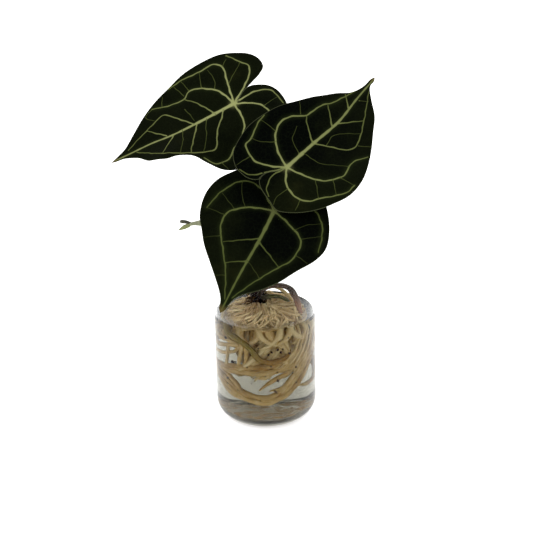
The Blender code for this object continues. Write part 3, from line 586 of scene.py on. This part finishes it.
class Body:
    """Points, faces and masks gathered for one piece."""

    def __init__(self, *masks):
        self.points = []
        self.faces = []
        self.masks = {name: [] for name in masks}
        self.count = 0

    def add(self, points, faces, **masks):
        self.points.append(np.asarray(points, float))
        self.faces += [[i + self.count for i in face] for face in faces]
        self.count += len(points)
        for name, rows in self.masks.items():
            rows.append(np.broadcast_to(np.asarray(masks.get(name, 0.0), float), len(points)))

    def piece(self, name, material, slot, *nodes):
        """Makes the piece, which replaces the nodes."""
        mesh = bpy.data.meshes.new(name)
        mesh.from_pydata((np.concatenate(self.points) * MM).tolist(), [], self.faces)
        for mask, rows in self.masks.items():
            layer = mesh.attributes.new(mask, "FLOAT", "POINT")
            layer.data.foreach_set("value", np.concatenate(rows).astype(np.float32))
        mesh.materials.append(material)
        mesh.shade_smooth()
        obj = link(name, mesh)
        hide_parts(*nodes)
        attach(obj, "root")


def smooth_path(points, step):
    """Points every step or so along a Catmull-Rom curve through the given ones."""
    points = [np.array(p, float) for p in points]
    points = [2 * points[0] - points[1]] + points + [2 * points[-1] - points[-2]]
    path = []
    for before, start, end, after in zip(points, points[1:], points[2:], points[3:]):
        count = max(1, round(float(np.linalg.norm(end - start)) / step))
        for i in range(count):
            t = i / count
            path.append(0.5 * (2 * start + (end - before) * t
                               + (2 * before - 5 * start + 4 * end - after) * t ** 2
                               + (3 * start - before - 3 * end + after) * t ** 3))
    path.append(points[-2])
    return np.array(path)


def run_length(path):
    """Distance along the path to each of its points."""
    return np.concatenate([[0.0], np.cumsum(np.linalg.norm(np.diff(path, axis=0), axis=1))])


def skin(rings, start, end):
    """A closed skin over rings of points, drawn together to a point at each end."""
    sides = len(rings[0])
    points = np.concatenate([*rings, [start, end]])
    first = len(points) - 2
    faces = []
    for k in range(sides):
        after = (k + 1) % sides
        faces += [[row + k, row + after, row + sides + after, row + sides + k]
                  for row in range(0, first - sides, sides)]
        faces += [[first, after, k], [first + 1, first - sides + k, first - sides + after]]
    return points, faces


def sheet(faces, total):
    """Faces of a thin sheet whose second layer starts total points on: both layers
    and the edge between them."""
    sides = [pair for face in faces for pair in zip(face, face[1:] + face[:1])]
    known = set(sides)
    edge = [[b, a, a + total, b + total] for a, b in sides if (b, a) not in known]
    return faces + [[i + total for i in face[::-1]] for face in faces] + edge


def circle(sides):
    """Cosines and sines of even steps round a circle."""
    turns = np.linspace(0.0, 2.0 * math.pi, sides, endpoint=False)
    return np.cos(turns), np.sin(turns)


def tube(path, radii, sides):
    """Rings round a path, closed by rounded ends."""
    ahead = np.gradient(path, axis=0)
    ahead /= np.linalg.norm(ahead, axis=1)[:, None]
    side = np.cross(ahead[0], (0.31, 0.52, 0.79))
    cos, sin = circle(sides)
    rings = []
    for place, way, radius in zip(path, ahead, radii):
        side = side - way * (side @ way)
        side /= np.linalg.norm(side)
        rings.append(place + radius * (np.outer(cos, side) + np.outer(sin, np.cross(way, side))))
    return skin(rings, path[0] - ahead[0] * radii[0] * ROUND_END,
                path[-1] + ahead[-1] * radii[-1] * ROUND_END)


def spread(path, places, radii):
    """Radii all along a path from those given at its places."""
    run = run_length(path)
    nodes = [run[int(np.argmin(np.linalg.norm(path - np.array(p, float), axis=1)))] for p in places]
    return np.interp(run, nodes, radii)


def knotty(path, radius, rng, wobble=0.35):
    """A root's path and radii, a little uneven, with a blunt tip."""
    place = run_length(path)
    phase = [rng.uniform(0.0, 6.28) for _ in range(5)]
    sway = np.stack([np.sin(place / 7.0 + phase[0]) + 0.6 * np.sin(place / 3.1 + phase[1]),
                     np.sin(place / 6.1 + phase[2]), np.sin(place / 5.3 + phase[3])], axis=1)
    radii = radius * (1.0 + 0.06 * np.sin(place / 3.7 + phase[4]) + 0.04 * np.sin(place / 1.9))
    left = place[-1] - place
    radii *= np.interp(left, (0.0, 1.5, 5.0, 30.0), (0.35, 0.62, 0.8, 1.0))
    return path + sway * wobble, radii


def arc(centre, radius, start, end, count):
    """Points of a profile along an arc, from the start to the end in degrees."""
    angles = np.radians(np.linspace(start, end, count + 1))
    return [(centre[0] + radius * math.cos(a), centre[1] + radius * math.sin(a)) for a in angles]


def turned(profile, sides=TURNED_STEPS):
    """A profile of distances and heights, from the axis back to it, turned round it."""
    cos, sin = circle(sides)
    rings = [np.stack([reach * cos, -reach * sin, np.full(sides, float(height))], axis=1)
             for reach, height in profile[1:-1]]
    return skin(rings, (0.0, 0.0, profile[0][1]), (0.0, 0.0, profile[-1][1]))


def polar(place):
    """A place from its degrees to the right of the front, distance and height."""
    turn, reach, height = place
    turn = math.radians(turn)
    return (reach * math.sin(turn), -reach * math.cos(turn), height)


def swept(turn, sweep, *places):
    """Places round the glass's axis, each by its share of the sweep past the turn,
    its distance and its height."""
    return [polar((turn + share * sweep, reach, height)) for share, reach, height in places]


def either_way(rng, low, high):
    """A random sweep to the left or the right."""
    return rng.choice((-1, 1)) * rng.uniform(low, high)


def ball(centre, radii, rows, sides):
    """An egg shape of given half sizes, with its poles up and down."""
    leans = [math.pi * i / rows for i in range(rows + 1)]
    points, faces = turned([(math.sin(lean), math.cos(lean)) for lean in leans], sides)
    return points * radii + np.array(centre), faces


# Leaves


def blade_frame(leaf):
    """Origin, across, along and facing directions of a leaf's plane, and its length."""
    rise = math.radians(leaf["rise"])
    turn = math.radians(leaf["turn"])
    facing = Vector((math.sin(turn) * math.cos(rise), -math.cos(turn) * math.cos(rise),
                     math.sin(rise)))
    origin = Vector(leaf["junction"])
    along = Vector(leaf["tip"]) - origin
    along -= along.dot(facing) * facing
    length = along.length
    along.normalize()
    return origin, along.cross(facing), along, facing, length


def hill(u, v, at_u, at_v, wide):
    """1 at a place on the blade and softly down to 0 around it."""
    return np.exp(-((u - at_u) ** 2 + (v - at_v) ** 2) / (2.0 * wide ** 2))


def blade_height(leaf, length, u, v):
    """Height of the blade's middle surface over its plane."""
    height = 0.10 * (np.sqrt(u * u + 64.0) - 8.0)
    height -= leaf["tip_droop"] * np.clip(v / length, 0, None) ** 2
    height -= 5.0 * (np.clip(-v, 0, None) / 40.0) ** 2
    return height + sum(lift * hill(u, v, at_u, at_v, wide)
                        for at_u, at_v, lift, wide in leaf["swells"])


def blade_outline(leaf, length):
    """The heart's margin, from the notch round the right half, the tip and the left."""
    right, left = (smooth_path(leaf[half] + [(0, length)], BLADE_STEP)
                   for half in ("right", "left"))
    notch = [((leaf["right"][0][0] + leaf["left"][0][0]) * 0.3, -3.4)]
    return np.concatenate([notch, right, left[-2::-1]])


def beside(line, offset):
    """A line moved sideways by the offset at each point."""
    run = np.gradient(line, axis=0)
    run /= np.linalg.norm(run, axis=1)[:, None]
    return line + np.reshape(offset, (-1, 1)) * np.stack([-run[:, 1], run[:, 0]], axis=1)


def inside(points, outline):
    """Whether each point lies within the outline."""
    x, y = points[:, 0], points[:, 1]
    found = np.zeros(len(points), bool)
    for (x0, y0), (x1, y1) in zip(outline, np.roll(outline, -1, axis=0)):
        if y0 != y1:
            found ^= ((y0 > y) != (y1 > y)) & (x < (x1 - x0) * (y - y0) / (y1 - y0) + x0)
    return found


def near_lines(points, lines):
    """For each point the vein ramp, the paleness of that vein, and the distance to
    the nearest strong line. Each line has its points, half widths and paleness.
    The ramp is 1 on a line and 0 at VEIN_FADE half widths from it."""
    ramp = np.full(len(points), -9.0)
    pale = np.zeros(len(points))
    nearest = np.full(len(points), 99.0)
    for line, widths, pales in lines:
        for a, b, wide, narrow, paleness in zip(line, line[1:], widths, widths[1:], pales):
            span = b - a
            t = np.clip(((points - a) @ span) / (span @ span), 0, 1)
            apart = np.linalg.norm(points - a - t[:, None] * span, axis=1)
            height = 1.0 - apart / (VEIN_FADE * (wide + t * (narrow - wide)))
            pale = np.where(height > ramp, paleness, pale)
            ramp = np.maximum(ramp, height)
            if pales[0] > 0.9:
                nearest = np.minimum(nearest, apart)
    return ramp, pale, nearest


def vein_lines(leaf):
    """Every vein's line with its half widths and how pale it is along the way."""
    lines = []
    for kind, (start, end, pale_start, pale_end) in VEIN_KINDS.items():
        for route in leaf[kind]:
            line = smooth_path(route, BLADE_STEP)
            place = run_length(line)
            uneven = np.sin(place / 2.7 + len(lines)) + 0.8 * np.sin(place / 1.5 + 2 * len(lines))
            if kind != "midrib":
                free = np.clip(np.minimum(place, place[-1] - place) / 5.0, 0, 1)
                line = beside(line, VEIN_SWAY * uneven * free)
            lines.append((line, np.linspace(start, end, len(line)) * (1.0 + 0.1 * uneven),
                          np.linspace(pale_start, pale_end, len(line))))
    return lines


def edge_line(outline):
    """The margin as one closed strong line."""
    loop = np.concatenate([outline, outline[:1]])
    return [(loop, np.ones(len(loop)), np.ones(len(loop)))]


def blade_points(outline, lines, length):
    """The blade's points in its plane, with the edges that its mesh keeps."""
    margin = edge_line(outline)
    points = [outline]
    edges = [(i, (i + 1) % len(outline)) for i in range(len(outline))]
    count = len(outline)

    def from_margin(places):
        return near_lines(places, margin)[2]

    # A ring just inside the margin
    ring = beside(outline, np.full(len(outline), RIM_WIDTH))
    if not inside(ring[len(ring) // 4:len(ring) // 4 + 1], outline)[0]:
        ring = beside(outline, np.full(len(outline), -RIM_WIDTH))
    ring = ring[inside(ring, outline) & (from_margin(ring) > 0.8 * RIM_WIDTH)]
    points.append(ring)
    count += len(ring)
    # Each vein's middle and both its sides
    for line, widths, _ in lines:
        for way in (0.0, VEIN_FADE, -VEIN_FADE):
            run = beside(line, way * widths)
            keep = inside(run, outline) & (from_margin(run) > 1.3 * RIM_WIDTH)
            number = count + np.cumsum(keep) - 1
            edges += [(int(number[i]), int(number[i + 1])) for i in range(len(run) - 1)
                      if keep[i] and keep[i + 1]]
            points.append(run[keep])
            count += int(keep.sum())
    # A lattice of even triangles over the rest
    rows = np.arange(-56, length, BLADE_STEP * 0.866)
    lattice = np.array([(u + (i % 2) * BLADE_STEP / 2, v) for i, v in enumerate(rows)
                        for u in np.arange(-81, 82, BLADE_STEP)])
    lattice = lattice[inside(lattice, outline)]
    lattice = lattice[from_margin(lattice) > 1.7 * RIM_WIDTH]
    wider = [(line, widths + 0.4, pales) for line, widths, pales in lines]
    points.append(lattice[near_lines(lattice, wider)[0] < 0.0])
    return np.concatenate(points), edges


def blade_net(outline, lines, length):
    """The blade's points in its plane and the triangles between them."""
    points, edges = blade_points(outline, lines, length)
    flat, _, faces, *_ = delaunay_2d_cdt([Vector(p) for p in points], edges, [], 0, 1e-3)
    flat = np.array([tuple(p) for p in flat])
    corners = np.array([list(f) for f in faces])
    corners = corners[inside(flat[corners].mean(axis=1), outline)]
    used, corners = np.unique(corners, return_inverse=True)
    return flat[used], corners.reshape(-1, 3)


def make_blade(leaf):
    """A waved blade with raised veins above and ribs below, and its masks."""
    origin, across, along, facing, length = blade_frame(leaf)
    outline = blade_outline(leaf, length)
    lines = vein_lines(leaf)
    flat, corners = blade_net(outline, lines, length)
    u, v = flat[:, 0], flat[:, 1]
    ramp, pale, nearest = near_lines(flat, lines)
    ramp = np.clip(ramp, 0, 1)
    edge = near_lines(flat, edge_line(outline))[2]

    crest = ramp * ramp * (3 - 2 * ramp) * pale
    quilt = QUILT * (1 - np.exp(-(nearest / QUILT_REACH) ** 2)) * np.clip(edge / 9.0, 0, 1)
    thin = np.interp(edge, (0.0, 1.2, 6.0), (0.35, 0.7, 1.0))
    ripple = 0.35 * np.sin(u / 4.3 + v / 9.0) * np.exp(-edge / 5.0)
    middle = blade_height(leaf, length, u, v) - blade_height(leaf, length, 0.0, 0.0)
    middle += ripple + quilt
    plane = np.outer(u, across) + np.outer(v, along) + np.array(origin)
    top = plane + np.outer(middle + BLADE_TOP * thin + VEIN_CREST * crest, facing)
    bottom = plane + np.outer(middle - BLADE_UNDER * thin - RIB_DEPTH * crest, facing)

    masks = {
        "vein": ramp,
        # The paleness of the veins and of the junction is scaled by the leaf's number for its
        # light, lower on the leaves in shade: painted shade.
        "pale": pale * leaf["painted_light"],
        "halo": np.exp(-(nearest / 2.6) ** 2) * np.interp(v, (-10, 10), (0.5, 1.0)),
        "heart": hill(u, v, 0.0, 0.0, 2.7) * leaf["painted_light"] ** 2,
        # Where the finish paints a highlight along the margin
        "rim": np.clip(1.0 - edge / RIM_WIDTH, 0, 1),
        # Painted light and shade on the velvet about the patches' places
        "painted_shading": sum(much * hill(u, v, at_u, at_v, wide)
                     for at_u, at_v, much, wide in leaf["painted_shading_patches"]),
        "dry": np.clip((v - (length - 9.0)) / 7.0, 0, 1),
    }
    body = Body("under", *masks)
    body.add(np.concatenate([top, bottom]), sheet(corners.tolist(), len(flat)),
             under=np.repeat((0.0, 1.0), len(flat)),
             **{name: np.tile(row, 2) for name, row in masks.items()})
    return body


def make_leaves():
    finish = leaf_finish()
    for name, leaf in LEAVES.items():
        make_blade(leaf).piece("blade_" + name.split("_")[1], finish, "leaf", name)


def make_stalk(name, slot, node, finish, path, radii, sides, least_brown=0.0):
    """A stalk that is brown where it leaves the crown."""
    points, faces = tube(path, radii, sides)
    body = Body("brown")
    body.add(points, faces,
             brown=np.clip(1.0 - (points[:, 2] - BROWN_TO) / BROWN_FADE, least_brown, 1.0))
    body.piece(name, finish, slot, node)


def make_petioles():
    finish = stalk_finish("petiole_skin", srgb(78, 92, 46), srgb(100, 102, 56))
    for name, (leaf_name, route) in PETIOLES.items():
        origin, _, _, facing, _ = blade_frame(LEAVES[leaf_name])
        knee = origin - facing * 7.0
        end = origin - facing * (BLADE_UNDER + 0.4)
        path = smooth_path(route + [tuple(knee), tuple(end)], 2.0)
        place = run_length(path)
        radii = np.interp(place[-1] - place, (0.0, 2.0, 9.0, 14.0, 17.0),
                          (PULVINUS_R * 0.9, PULVINUS_R, PULVINUS_R, PETIOLE_R + 0.2, PETIOLE_R))
        radii *= 1.0 + 0.012 * np.sin(place / 2.0)
        make_stalk("stalk_" + name.split("_")[1], "petiole", name, finish, path, radii, 20)


# Glass and water


def make_turned(name, finish, slot, node, profile):
    body = Body()
    body.add(*turned(profile))
    body.piece(name, finish, slot, node)


def make_glass():
    inner = GLASS_R - GLASS_WALL
    lip = GLASS_WALL / 2
    corner = (inner - INNER_CORNER_R, GLASS_FLOOR + INNER_CORNER_R)
    profile = [(0, GLASS_FLOOR), (12, GLASS_FLOOR), (26, GLASS_FLOOR)]
    profile += arc(corner, INNER_CORNER_R, -90, 0, 10)
    profile += [(inner, z) for z in range(40, 200, 20)]
    profile += arc((GLASS_R - lip, GLASS_H - lip), lip, 180, 0, 12)
    profile += [(GLASS_R, z) for z in range(180, 30, -20)]
    profile += arc((GLASS_R - HEEL_R, HEEL_R), HEEL_R, 0, -90, 24)
    profile += [(16, 0), (0, 0)]
    make_turned("glass_cylinder", glass_finish(), "glass", "glass_vase", profile)


def make_water():
    """Water that fills the glass, a hair into its wall, with a curved edge on top."""
    outer = GLASS_R - GLASS_WALL + WATER_SOAK
    floor = GLASS_FLOOR - WATER_SOAK
    corner = (outer - INNER_CORNER_R, floor + INNER_CORNER_R)
    profile = [(0, WATER_LEVEL), (20, WATER_LEVEL), (38, WATER_LEVEL)]
    profile += [(outer - x, WATER_LEVEL + MENISCUS * math.exp(-x / 1.1))
                for x in (5, 3.5, 2.4, 1.6, 1.0, 0.6, 0.3, 0.0)]
    profile += [(outer, z) for z in range(100, 20, -20)]
    profile += arc(corner, INNER_CORNER_R, 0, -90, 10)
    profile += [(20, floor), (0, floor)]
    make_turned("water_body", water_finish(), "water", "water", profile)


# Roots and crown


def mass_routes():
    """Every thick root of the mass with its radius, tone and route."""
    for radius, tone, places in ROOTS:
        yield radius, tone, swept(0, 1, *places)
    # Four that fall at the front right
    for i in range(4):
        yield 2.4, 0.3 + 0.1 * i, swept(
            34 + 15 * i, 1, (0, 12, 108), (6, 26, 108 - i), (12, 36, 99 - i), (12, 37.5, 86),
            (4, 37.5, 74), (-12, 36.5, 64))
    # Thirteen that spread from the crown to the glass, with a gap at the front
    rng = random.Random(7)
    for i in range(14):
        turn = 25.7 * i - 8 + rng.uniform(-6, 6)
        drop = rng.uniform(0, 5)
        sweep = rng.choice((-1, 1))
        if i == 0:
            continue
        yield 2.4, 0.1 + 0.03 * (i % 5), swept(
            turn, sweep, (0, 7, 111), (5, 19, 114 - drop), (12, 30, 111 - drop),
            (22, 38.5, 105 - drop), (38, WALL_REACH, 97 - drop), (54, 38, 91 - drop))
    # Six that curl round the middle
    for i in range(6):
        turn = 60 * i + rng.uniform(-10, 10)
        sink = rng.uniform(0, 8)
        yield 2.7, 0.6, swept(
            turn, 1, (0, 20, 92), (20, 29, 84 - sink / 2), (48, 31, 76 - sink),
            (76, 29, 70 - sink), (98, 24, 66 - sink))
    # Four that come out at the back
    for i in range(4):
        low = 62 + 8 * i
        yield 2.6, 0.4, swept(
            112 + 26 * i, 1 if i % 2 else -1, (0, 18, 98), (8, 29, 94), (20, 37, low + 16),
            (42, 39.5, low + 6), (66, 38.5, low))


def mound_routes(rng):
    """Thin wavy roots that spread from the crown over the mound, and thicker ones
    close under them."""
    for i in range(MOUND_ROOTS):
        turn = 2.4 * i + rng.uniform(-4, 4)
        drop = rng.uniform(0, 2)
        sweep = either_way(rng, 4, 44)
        reach = rng.uniform(37.0, 41.5)
        start = rng.choice((7, 7, 16, 24))
        yield rng.uniform(0.55, 1.1), rng.uniform(0.15, 0.75), swept(
            turn, sweep, (0, start, 118 - start * 0.1), (0.2, start + 7, 116.5 - drop),
            (0.5, 32, 113.5 - drop), (0.8, reach - 3, 111.5 - drop), (1, reach, 109.4 - drop),
            (1.2, reach - 2, 106.5 - drop), (1.5, reach - 9, 102.5 - drop))
    for i in range(UNDER_MOUND_ROOTS):
        turn = 8.2 * i + rng.uniform(-4, 4)
        drop = rng.uniform(0, 3)
        sweep = either_way(rng, 18, 48)
        front = math.cos(math.radians(turn + sweep + 35)) > 0.2
        reach = rng.uniform(37.0, 40.0)
        end = 104 - drop - (rng.uniform(1, 4) if front else rng.uniform(6, 16))
        yield rng.uniform(1.4, 2.0), rng.uniform(0.15, 0.6), swept(
            turn, sweep, (0, 10, 111), (0.2, 20, 112 - drop), (0.4, 30, 110 - drop),
            (0.7, reach - 2, 106.5 - drop), (1, reach, 105 - drop), (1.3, reach - 4, end),
            (1.5, reach - 12, end - 4))


def inner_routes(rng):
    """Roots that hang from the core and fill the water under the mound."""
    for i in range(INNER_ROOTS):
        sweep = either_way(rng, 40, 105)
        high = rng.uniform(86, 106)
        fall = high - rng.uniform(46, 88)
        reach = rng.uniform(26, 37)
        yield rng.uniform(1.6, 2.5), rng.uniform(0.0, 0.5), swept(
            137.5 * i, sweep, (0, 10, high), (0.2, 0.72 * reach, high - 0.1 * fall),
            (0.5, reach, high - 0.45 * fall), (0.8, reach, high - 0.85 * fall),
            (1, reach - 3, high - fall))
    for i in range(FRONT_ROOTS):
        high = rng.uniform(88, 102)
        low = rng.uniform(54, 74)
        reach = rng.uniform(30, 36)
        yield rng.uniform(1.8, 2.6), rng.uniform(0.1, 0.5), swept(
            -44 + 4.8 * i, 1, (54, 16, high), (42, reach - 4, high - 5),
            (22, reach, 0.5 * (high + low)), (0, reach, low), (-18, reach - 1, low - 3))
    for i in range(7):
        yield rng.uniform(1.3, 1.8), rng.uniform(0.1, 0.5), swept(
            34 + 9 * i, 1, (22, 26, 110), (18, 38, 100), (10, 40, 86),
            (-5, 39.5, 72 - 0.5 * i), (-22, 37.5, 61 - i))


def core_reach(turn, height):
    """How far the solid middle of the mass reaches from the glass's axis."""
    reach = 6.0
    x, y, _ = polar((turn, 1.0, 0.0))
    for centre, radii in ((CORE_AT, CORE_RADII), (HEART_AT, HEART_RADII)):
        lift = (height - centre[2]) / radii[2]
        if abs(lift) < 1.0:
            ring = radii[0] * math.sqrt(1.0 - lift * lift)
            reach = max(reach, ring + centre[0] * x + centre[1] * y)
    return reach


def clinging_routes(rng):
    """Roots that run down the middle of the mass, close against it, all round."""
    for i in range(CLINGING_ROOTS):
        turn = 5.625 * i + rng.uniform(-3, 3)
        sweep = either_way(rng, 5, 34)
        low = rng.uniform(49, 66)
        places = []
        for share in (0.0, 0.15, 0.3, 0.48, 0.66, 0.84, 1.0):
            height = 106.0 - share * (106.0 - low)
            places.append((share, core_reach(turn + share * sweep, height) + 0.7, height))
        yield rng.uniform(1.2, 1.9), rng.uniform(0.1, 0.6), swept(turn, sweep, *places)


def rootlet_routes(rng):
    """Short brown rootlets that hang over the mound from the crown's front, and
    golden ones that arch behind it to the right."""
    for i in range(26):
        turn = math.radians(-40 + 2.4 * i + rng.uniform(-4, 4))
        reach = rng.uniform(0.55, 1.0)
        yield rng.uniform(0.4, 0.9), rng.uniform(0.5, 1.3), [
            (CROWN_AT[0] + r * reach * math.sin(turn) * 0.9 + rng.uniform(-1.5, 1.5),
             CROWN_AT[1] - r * reach * math.cos(turn), z + rng.uniform(-0.6, 1.0))
            for r, z in ((5, 120), (11, 119.4), (18, 118), (25, 115.5), (31, 112), (36, 106))]
    for i in range(7):
        lift = rng.uniform(-1, 1.5)
        yield rng.uniform(1.2, 1.7), rng.uniform(0.3, 0.6), [
            (-4 + i, 7 + i, 118), (2 + 1.4 * i, 11 + 1.6 * i, 124.5 - 1.1 * i + lift),
            (9 + 1.7 * i, 14 + 2.4 * i, 121.5 - 1.2 * i + lift), (17 + 2 * i, 17 + 2.6 * i, 114),
            (24 + 1.6 * i, 18 + 2.6 * i, 107)]


def in_clear_water(place):
    """Whether a place is in the clear water at the left, below the roots, or in the
    small gap between the roots at the front left."""
    x, y, z = place
    deep = y + 35.0
    if abs(x + 29.5 - 0.18 * deep) < 6.5 and abs(z - 79.0 + 0.34 * deep) < 8.5:
        return True
    return (x < 0.36 * (y + 22.0) - 33.0 and z < 107.0) or z < 54.0 - 0.33 * (y + 40.0)


def open_run(path):
    """The first part of a path, up to the clear water."""
    for i, place in enumerate(path):
        if in_clear_water(place):
            return path[:i]
    return path


def cut_end(path):
    """Shares of the radius that taper over a path's last points, as at a cut end."""
    return np.interp(np.arange(len(path), 0, -1), (1, 7), (0.5, 1.0))


def add_main_roots(body, rng):
    """The thick roots. The first is the olive one, thin where it leaves the mound."""
    for i, (radius, tone, route) in enumerate(mass_routes()):
        path = smooth_path(route, ROOT_STEP)
        if i >= len(ROOTS):
            path = open_run(path)
        if len(path) < 5:
            continue
        path, radii = knotty(path, radius, rng)
        radii *= cut_end(path)
        if i == 0:
            radii *= np.interp(np.arange(len(path)), (0, 20, 34), (0.6, 0.7, 1.0))
        points, faces = tube(path, radii, 12)
        olive = 0.0 if i else np.interp(np.arange(len(points)) / len(points),
                                        (0.0, 0.3, 0.62, 0.75), (0.75, 0.85, 1.0, 0.2))
        body.add(points, faces, tone=tone, olive=olive)


def add_fine_roots(body, rng):
    """The thin roots. Their routes are all drawn before the first of them is made,
    and so are those of the clinging ones."""
    thin = [*mound_routes(rng), *rootlet_routes(rng), *inner_routes(rng)]
    for radius, tone, route in thin:
        path = open_run(smooth_path(route, THIN_STEP))
        if len(path) > 7:
            path, radii = knotty(path, radius, rng, 0.5)
            body.add(*tube(path, radii * cut_end(path), 9 if radius > 1.2 else 7), tone=tone)
    for radius, tone, route in list(clinging_routes(rng)):
        path, radii = knotty(smooth_path(route, THIN_STEP), radius, rng, 0.3)
        body.add(*tube(path, radii, 9), tone=tone)
    path, radii = knotty(smooth_path(ARCHING_ROOT, 2.0), 1.7, rng, 0.15)
    body.add(*tube(path, radii, 14), tone=0.45, olive=0.35)


def add_scraps_and_silt(body, rng):
    for turn, height, size in DEAD_SCRAPS:
        stretch = [size * rng.uniform(0.8, 1.3) for _ in range(3)]
        points, faces = ball(polar((turn, 39.0, height)), stretch, 7, 9)
        points += 0.25 * size * np.sin(points[:, [1, 2, 0]] * 2.7 / size)
        body.add(points, faces, tone=1.0, dead=1.0)
    for i, (x, y, wide, deep) in enumerate(SILT):
        points, faces = ball((0.0, 0.0, 0.0), (wide, deep, 0.4), 9, 40)
        turns = np.arctan2(points[:, 1], points[:, 0])
        uneven = 1.0 + 0.05 * np.sin(7.0 * turns + i) + 0.04 * np.sin(12.0 * turns)
        points[:, :2] *= uneven[:, None]
        points += (x, y, GLASS_FLOOR + 0.5)
        points[:, :2] *= np.minimum(1.0, 45.0 / np.hypot(points[:, 0], points[:, 1]))[:, None]
        body.add(points, faces, silt=1.0)


def make_roots():
    rng = random.Random(19)
    body = Body("tone", "olive", "dead", "silt")
    body.add(*ball(MOUND_AT, MOUND_RADII, 16, 36), tone=0.45)
    body.add(*ball(CORE_AT, CORE_RADII, 24, 40), tone=-0.1)
    body.add(*ball(HEART_AT, HEART_RADII, 20, 28), tone=0.1)
    body.add(*ball(NECK_AT, NECK_RADII, 14, 24), tone=0.3)
    add_main_roots(body, rng)
    add_fine_roots(body, rng)
    add_scraps_and_silt(body, rng)
    body.piece("root_mass", root_finish(), "root", "roots")


def scale_leaf(base, turn, length, width, lean, curl):
    """A papery pointed scale that rises from the crown, leaning outwards."""
    rows, columns = 9, 6
    out = np.array((math.cos(turn), math.sin(turn), 0.0))
    side = np.array((-math.sin(turn), math.cos(turn), 0.0))
    layer, t, s = np.meshgrid((0.0, 0.35), np.linspace(0.0, 1.0, rows + 1),
                              np.linspace(-1.0, 1.0, columns + 1), indexing="ij")
    half = width * (1 - t) ** 0.7 * (0.75 + 0.6 * t) / 2 + 0.12
    reach = lean * t * t * length - layer + curl * (1 - s * s) * half
    points = (np.array(base) + (s * half)[..., None] * side + reach[..., None] * out
              + (length * t)[..., None] * (0.0, 0.0, 1.0))
    wide = columns + 1
    grid = [[a, a + 1, a + wide + 1, a + wide]
            for i in range(rows) for a in range(i * wide, i * wide + columns)]
    rim = np.maximum(np.abs(s) ** 6, t ** 8)
    return points.reshape(-1, 3), sheet(grid, wide * (rows + 1)), rim.ravel()


def make_crown():
    rng = random.Random(5)
    body = Body("rim", "brown")
    body.add(*ball(CROWN_AT, [r * 0.9 for r in CROWN_RADII], 16, 24))
    for i in range(CROWN_SCALES):
        turn = 2.4 * i + rng.uniform(-0.2, 0.2)
        low = i / CROWN_SCALES
        reach = 6.8 - 3.4 * low
        base = (CROWN_AT[0] + reach * math.cos(turn), CROWN_AT[1] + reach * math.sin(turn),
                CROWN_AT[2] - 6.5 + 8.0 * low)
        points, faces, rim = scale_leaf(base, turn, rng.uniform(6.0, 10.0) - 2.0 * low,
                                        rng.uniform(5.0, 7.5), rng.uniform(-0.05, 0.5), 0.45)
        body.add(points, faces, rim=rim, brown=np.clip(points[:, 0] / 5.0, 0, 1))
    for i in range(CROWN_FIBRES):
        turn = rng.uniform(0.0, 6.28) if i < 28 else rng.uniform(2.6, 4.9)
        out = np.array((math.cos(turn), math.sin(turn), 0.0))
        start = np.array(CROWN_AT) + out * rng.uniform(5.5, 7.5) + (0, 0, rng.uniform(-6, 4))
        reach = rng.uniform(3.0, 8.0)
        route = [start, start + out * reach * 0.5 + (0, 0, rng.uniform(-1, 2)),
                 start + out * reach + (0, 0, rng.uniform(-4, 1))]
        path, radii = knotty(smooth_path(route, 1.0), rng.uniform(0.3, 0.65), rng, 0.25)
        body.add(*tube(path, radii, 6), rim=0.3, brown=rng.uniform(0.0, 0.9))
    body.piece("crown_stem", crown_finish(), "crown", "crown")


def make_aerial_root():
    path, uneven = knotty(smooth_path(AERIAL_ROOT, 1.6), 1.0, random.Random(11), 0.12)
    points, faces = tube(path, uneven * spread(path, AERIAL_ROOT, AERIAL_ROOT_R), 22)
    body = Body("tone")
    body.add(points, faces, tone=np.clip((129.0 - points[:, 2]) / 14.0, 0, 1))
    body.piece("arching_aerial_root", aerial_finish(), "aerial_root", "aerial_root")


def make_green_root():
    points, faces = tube(*knotty(smooth_path(GREEN_ROOT, 1.5), 2.3, random.Random(12), 0.1), 18)
    body = Body("brown")
    body.add(points, faces, brown=np.clip(1.0 - points[:, 0] / 6.0, 0, 0.8))
    finish = stalk_finish("green_root_skin", srgb(52, 50, 20), srgb(80, 76, 44), 0.12)
    body.piece("short_green_root", finish, "green_root", "green_root")


# Flower stalk


def make_flower():
    for name, node, places, radii, step, sides, least_brown, finish in (
            ("flower_stem", "flower_stalk", FLOWER_STALK, FLOWER_STALK_R, 2.0, 20, 0.0,
             stalk_finish("flower_stalk_skin", srgb(104, 108, 84), srgb(134, 134, 112))),
            ("flower_bract_blade", "flower_bract", BRACT, BRACT_R, 0.8, 18, 0.0,
             stalk_finish("bract_skin", srgb(82, 90, 48), srgb(142, 144, 102))),
            ("flower_spadix_tip", "flower_spadix", SPADIX, SPADIX_R, 0.8, 18, 0.3,
             stalk_finish("spadix_skin", srgb(42, 44, 36), srgb(84, 84, 72), 0.1))):
        path = smooth_path(places, step)
        make_stalk(name, node, node, finish, path, spread(path, places, radii), sides,
                   least_brown)


def make_floor():
    mesh = bpy.data.meshes.new("studio_floor")
    mesh.from_pydata([(x * FLOOR_HALF, y * FLOOR_HALF, -FLOOR_DROP)
                      for x, y in ((-1, -1), (1, -1), (1, 1), (-1, 1))], [], [(0, 1, 2, 3)])
    mesh.materials.append(floor_finish())
    link("studio_floor", mesh)


make_camera()
make_studio()
make_floor()
make_glass()
make_water()
make_roots()
make_crown()
make_aerial_root()
make_green_root()
make_petioles()
make_leaves()
make_flower()
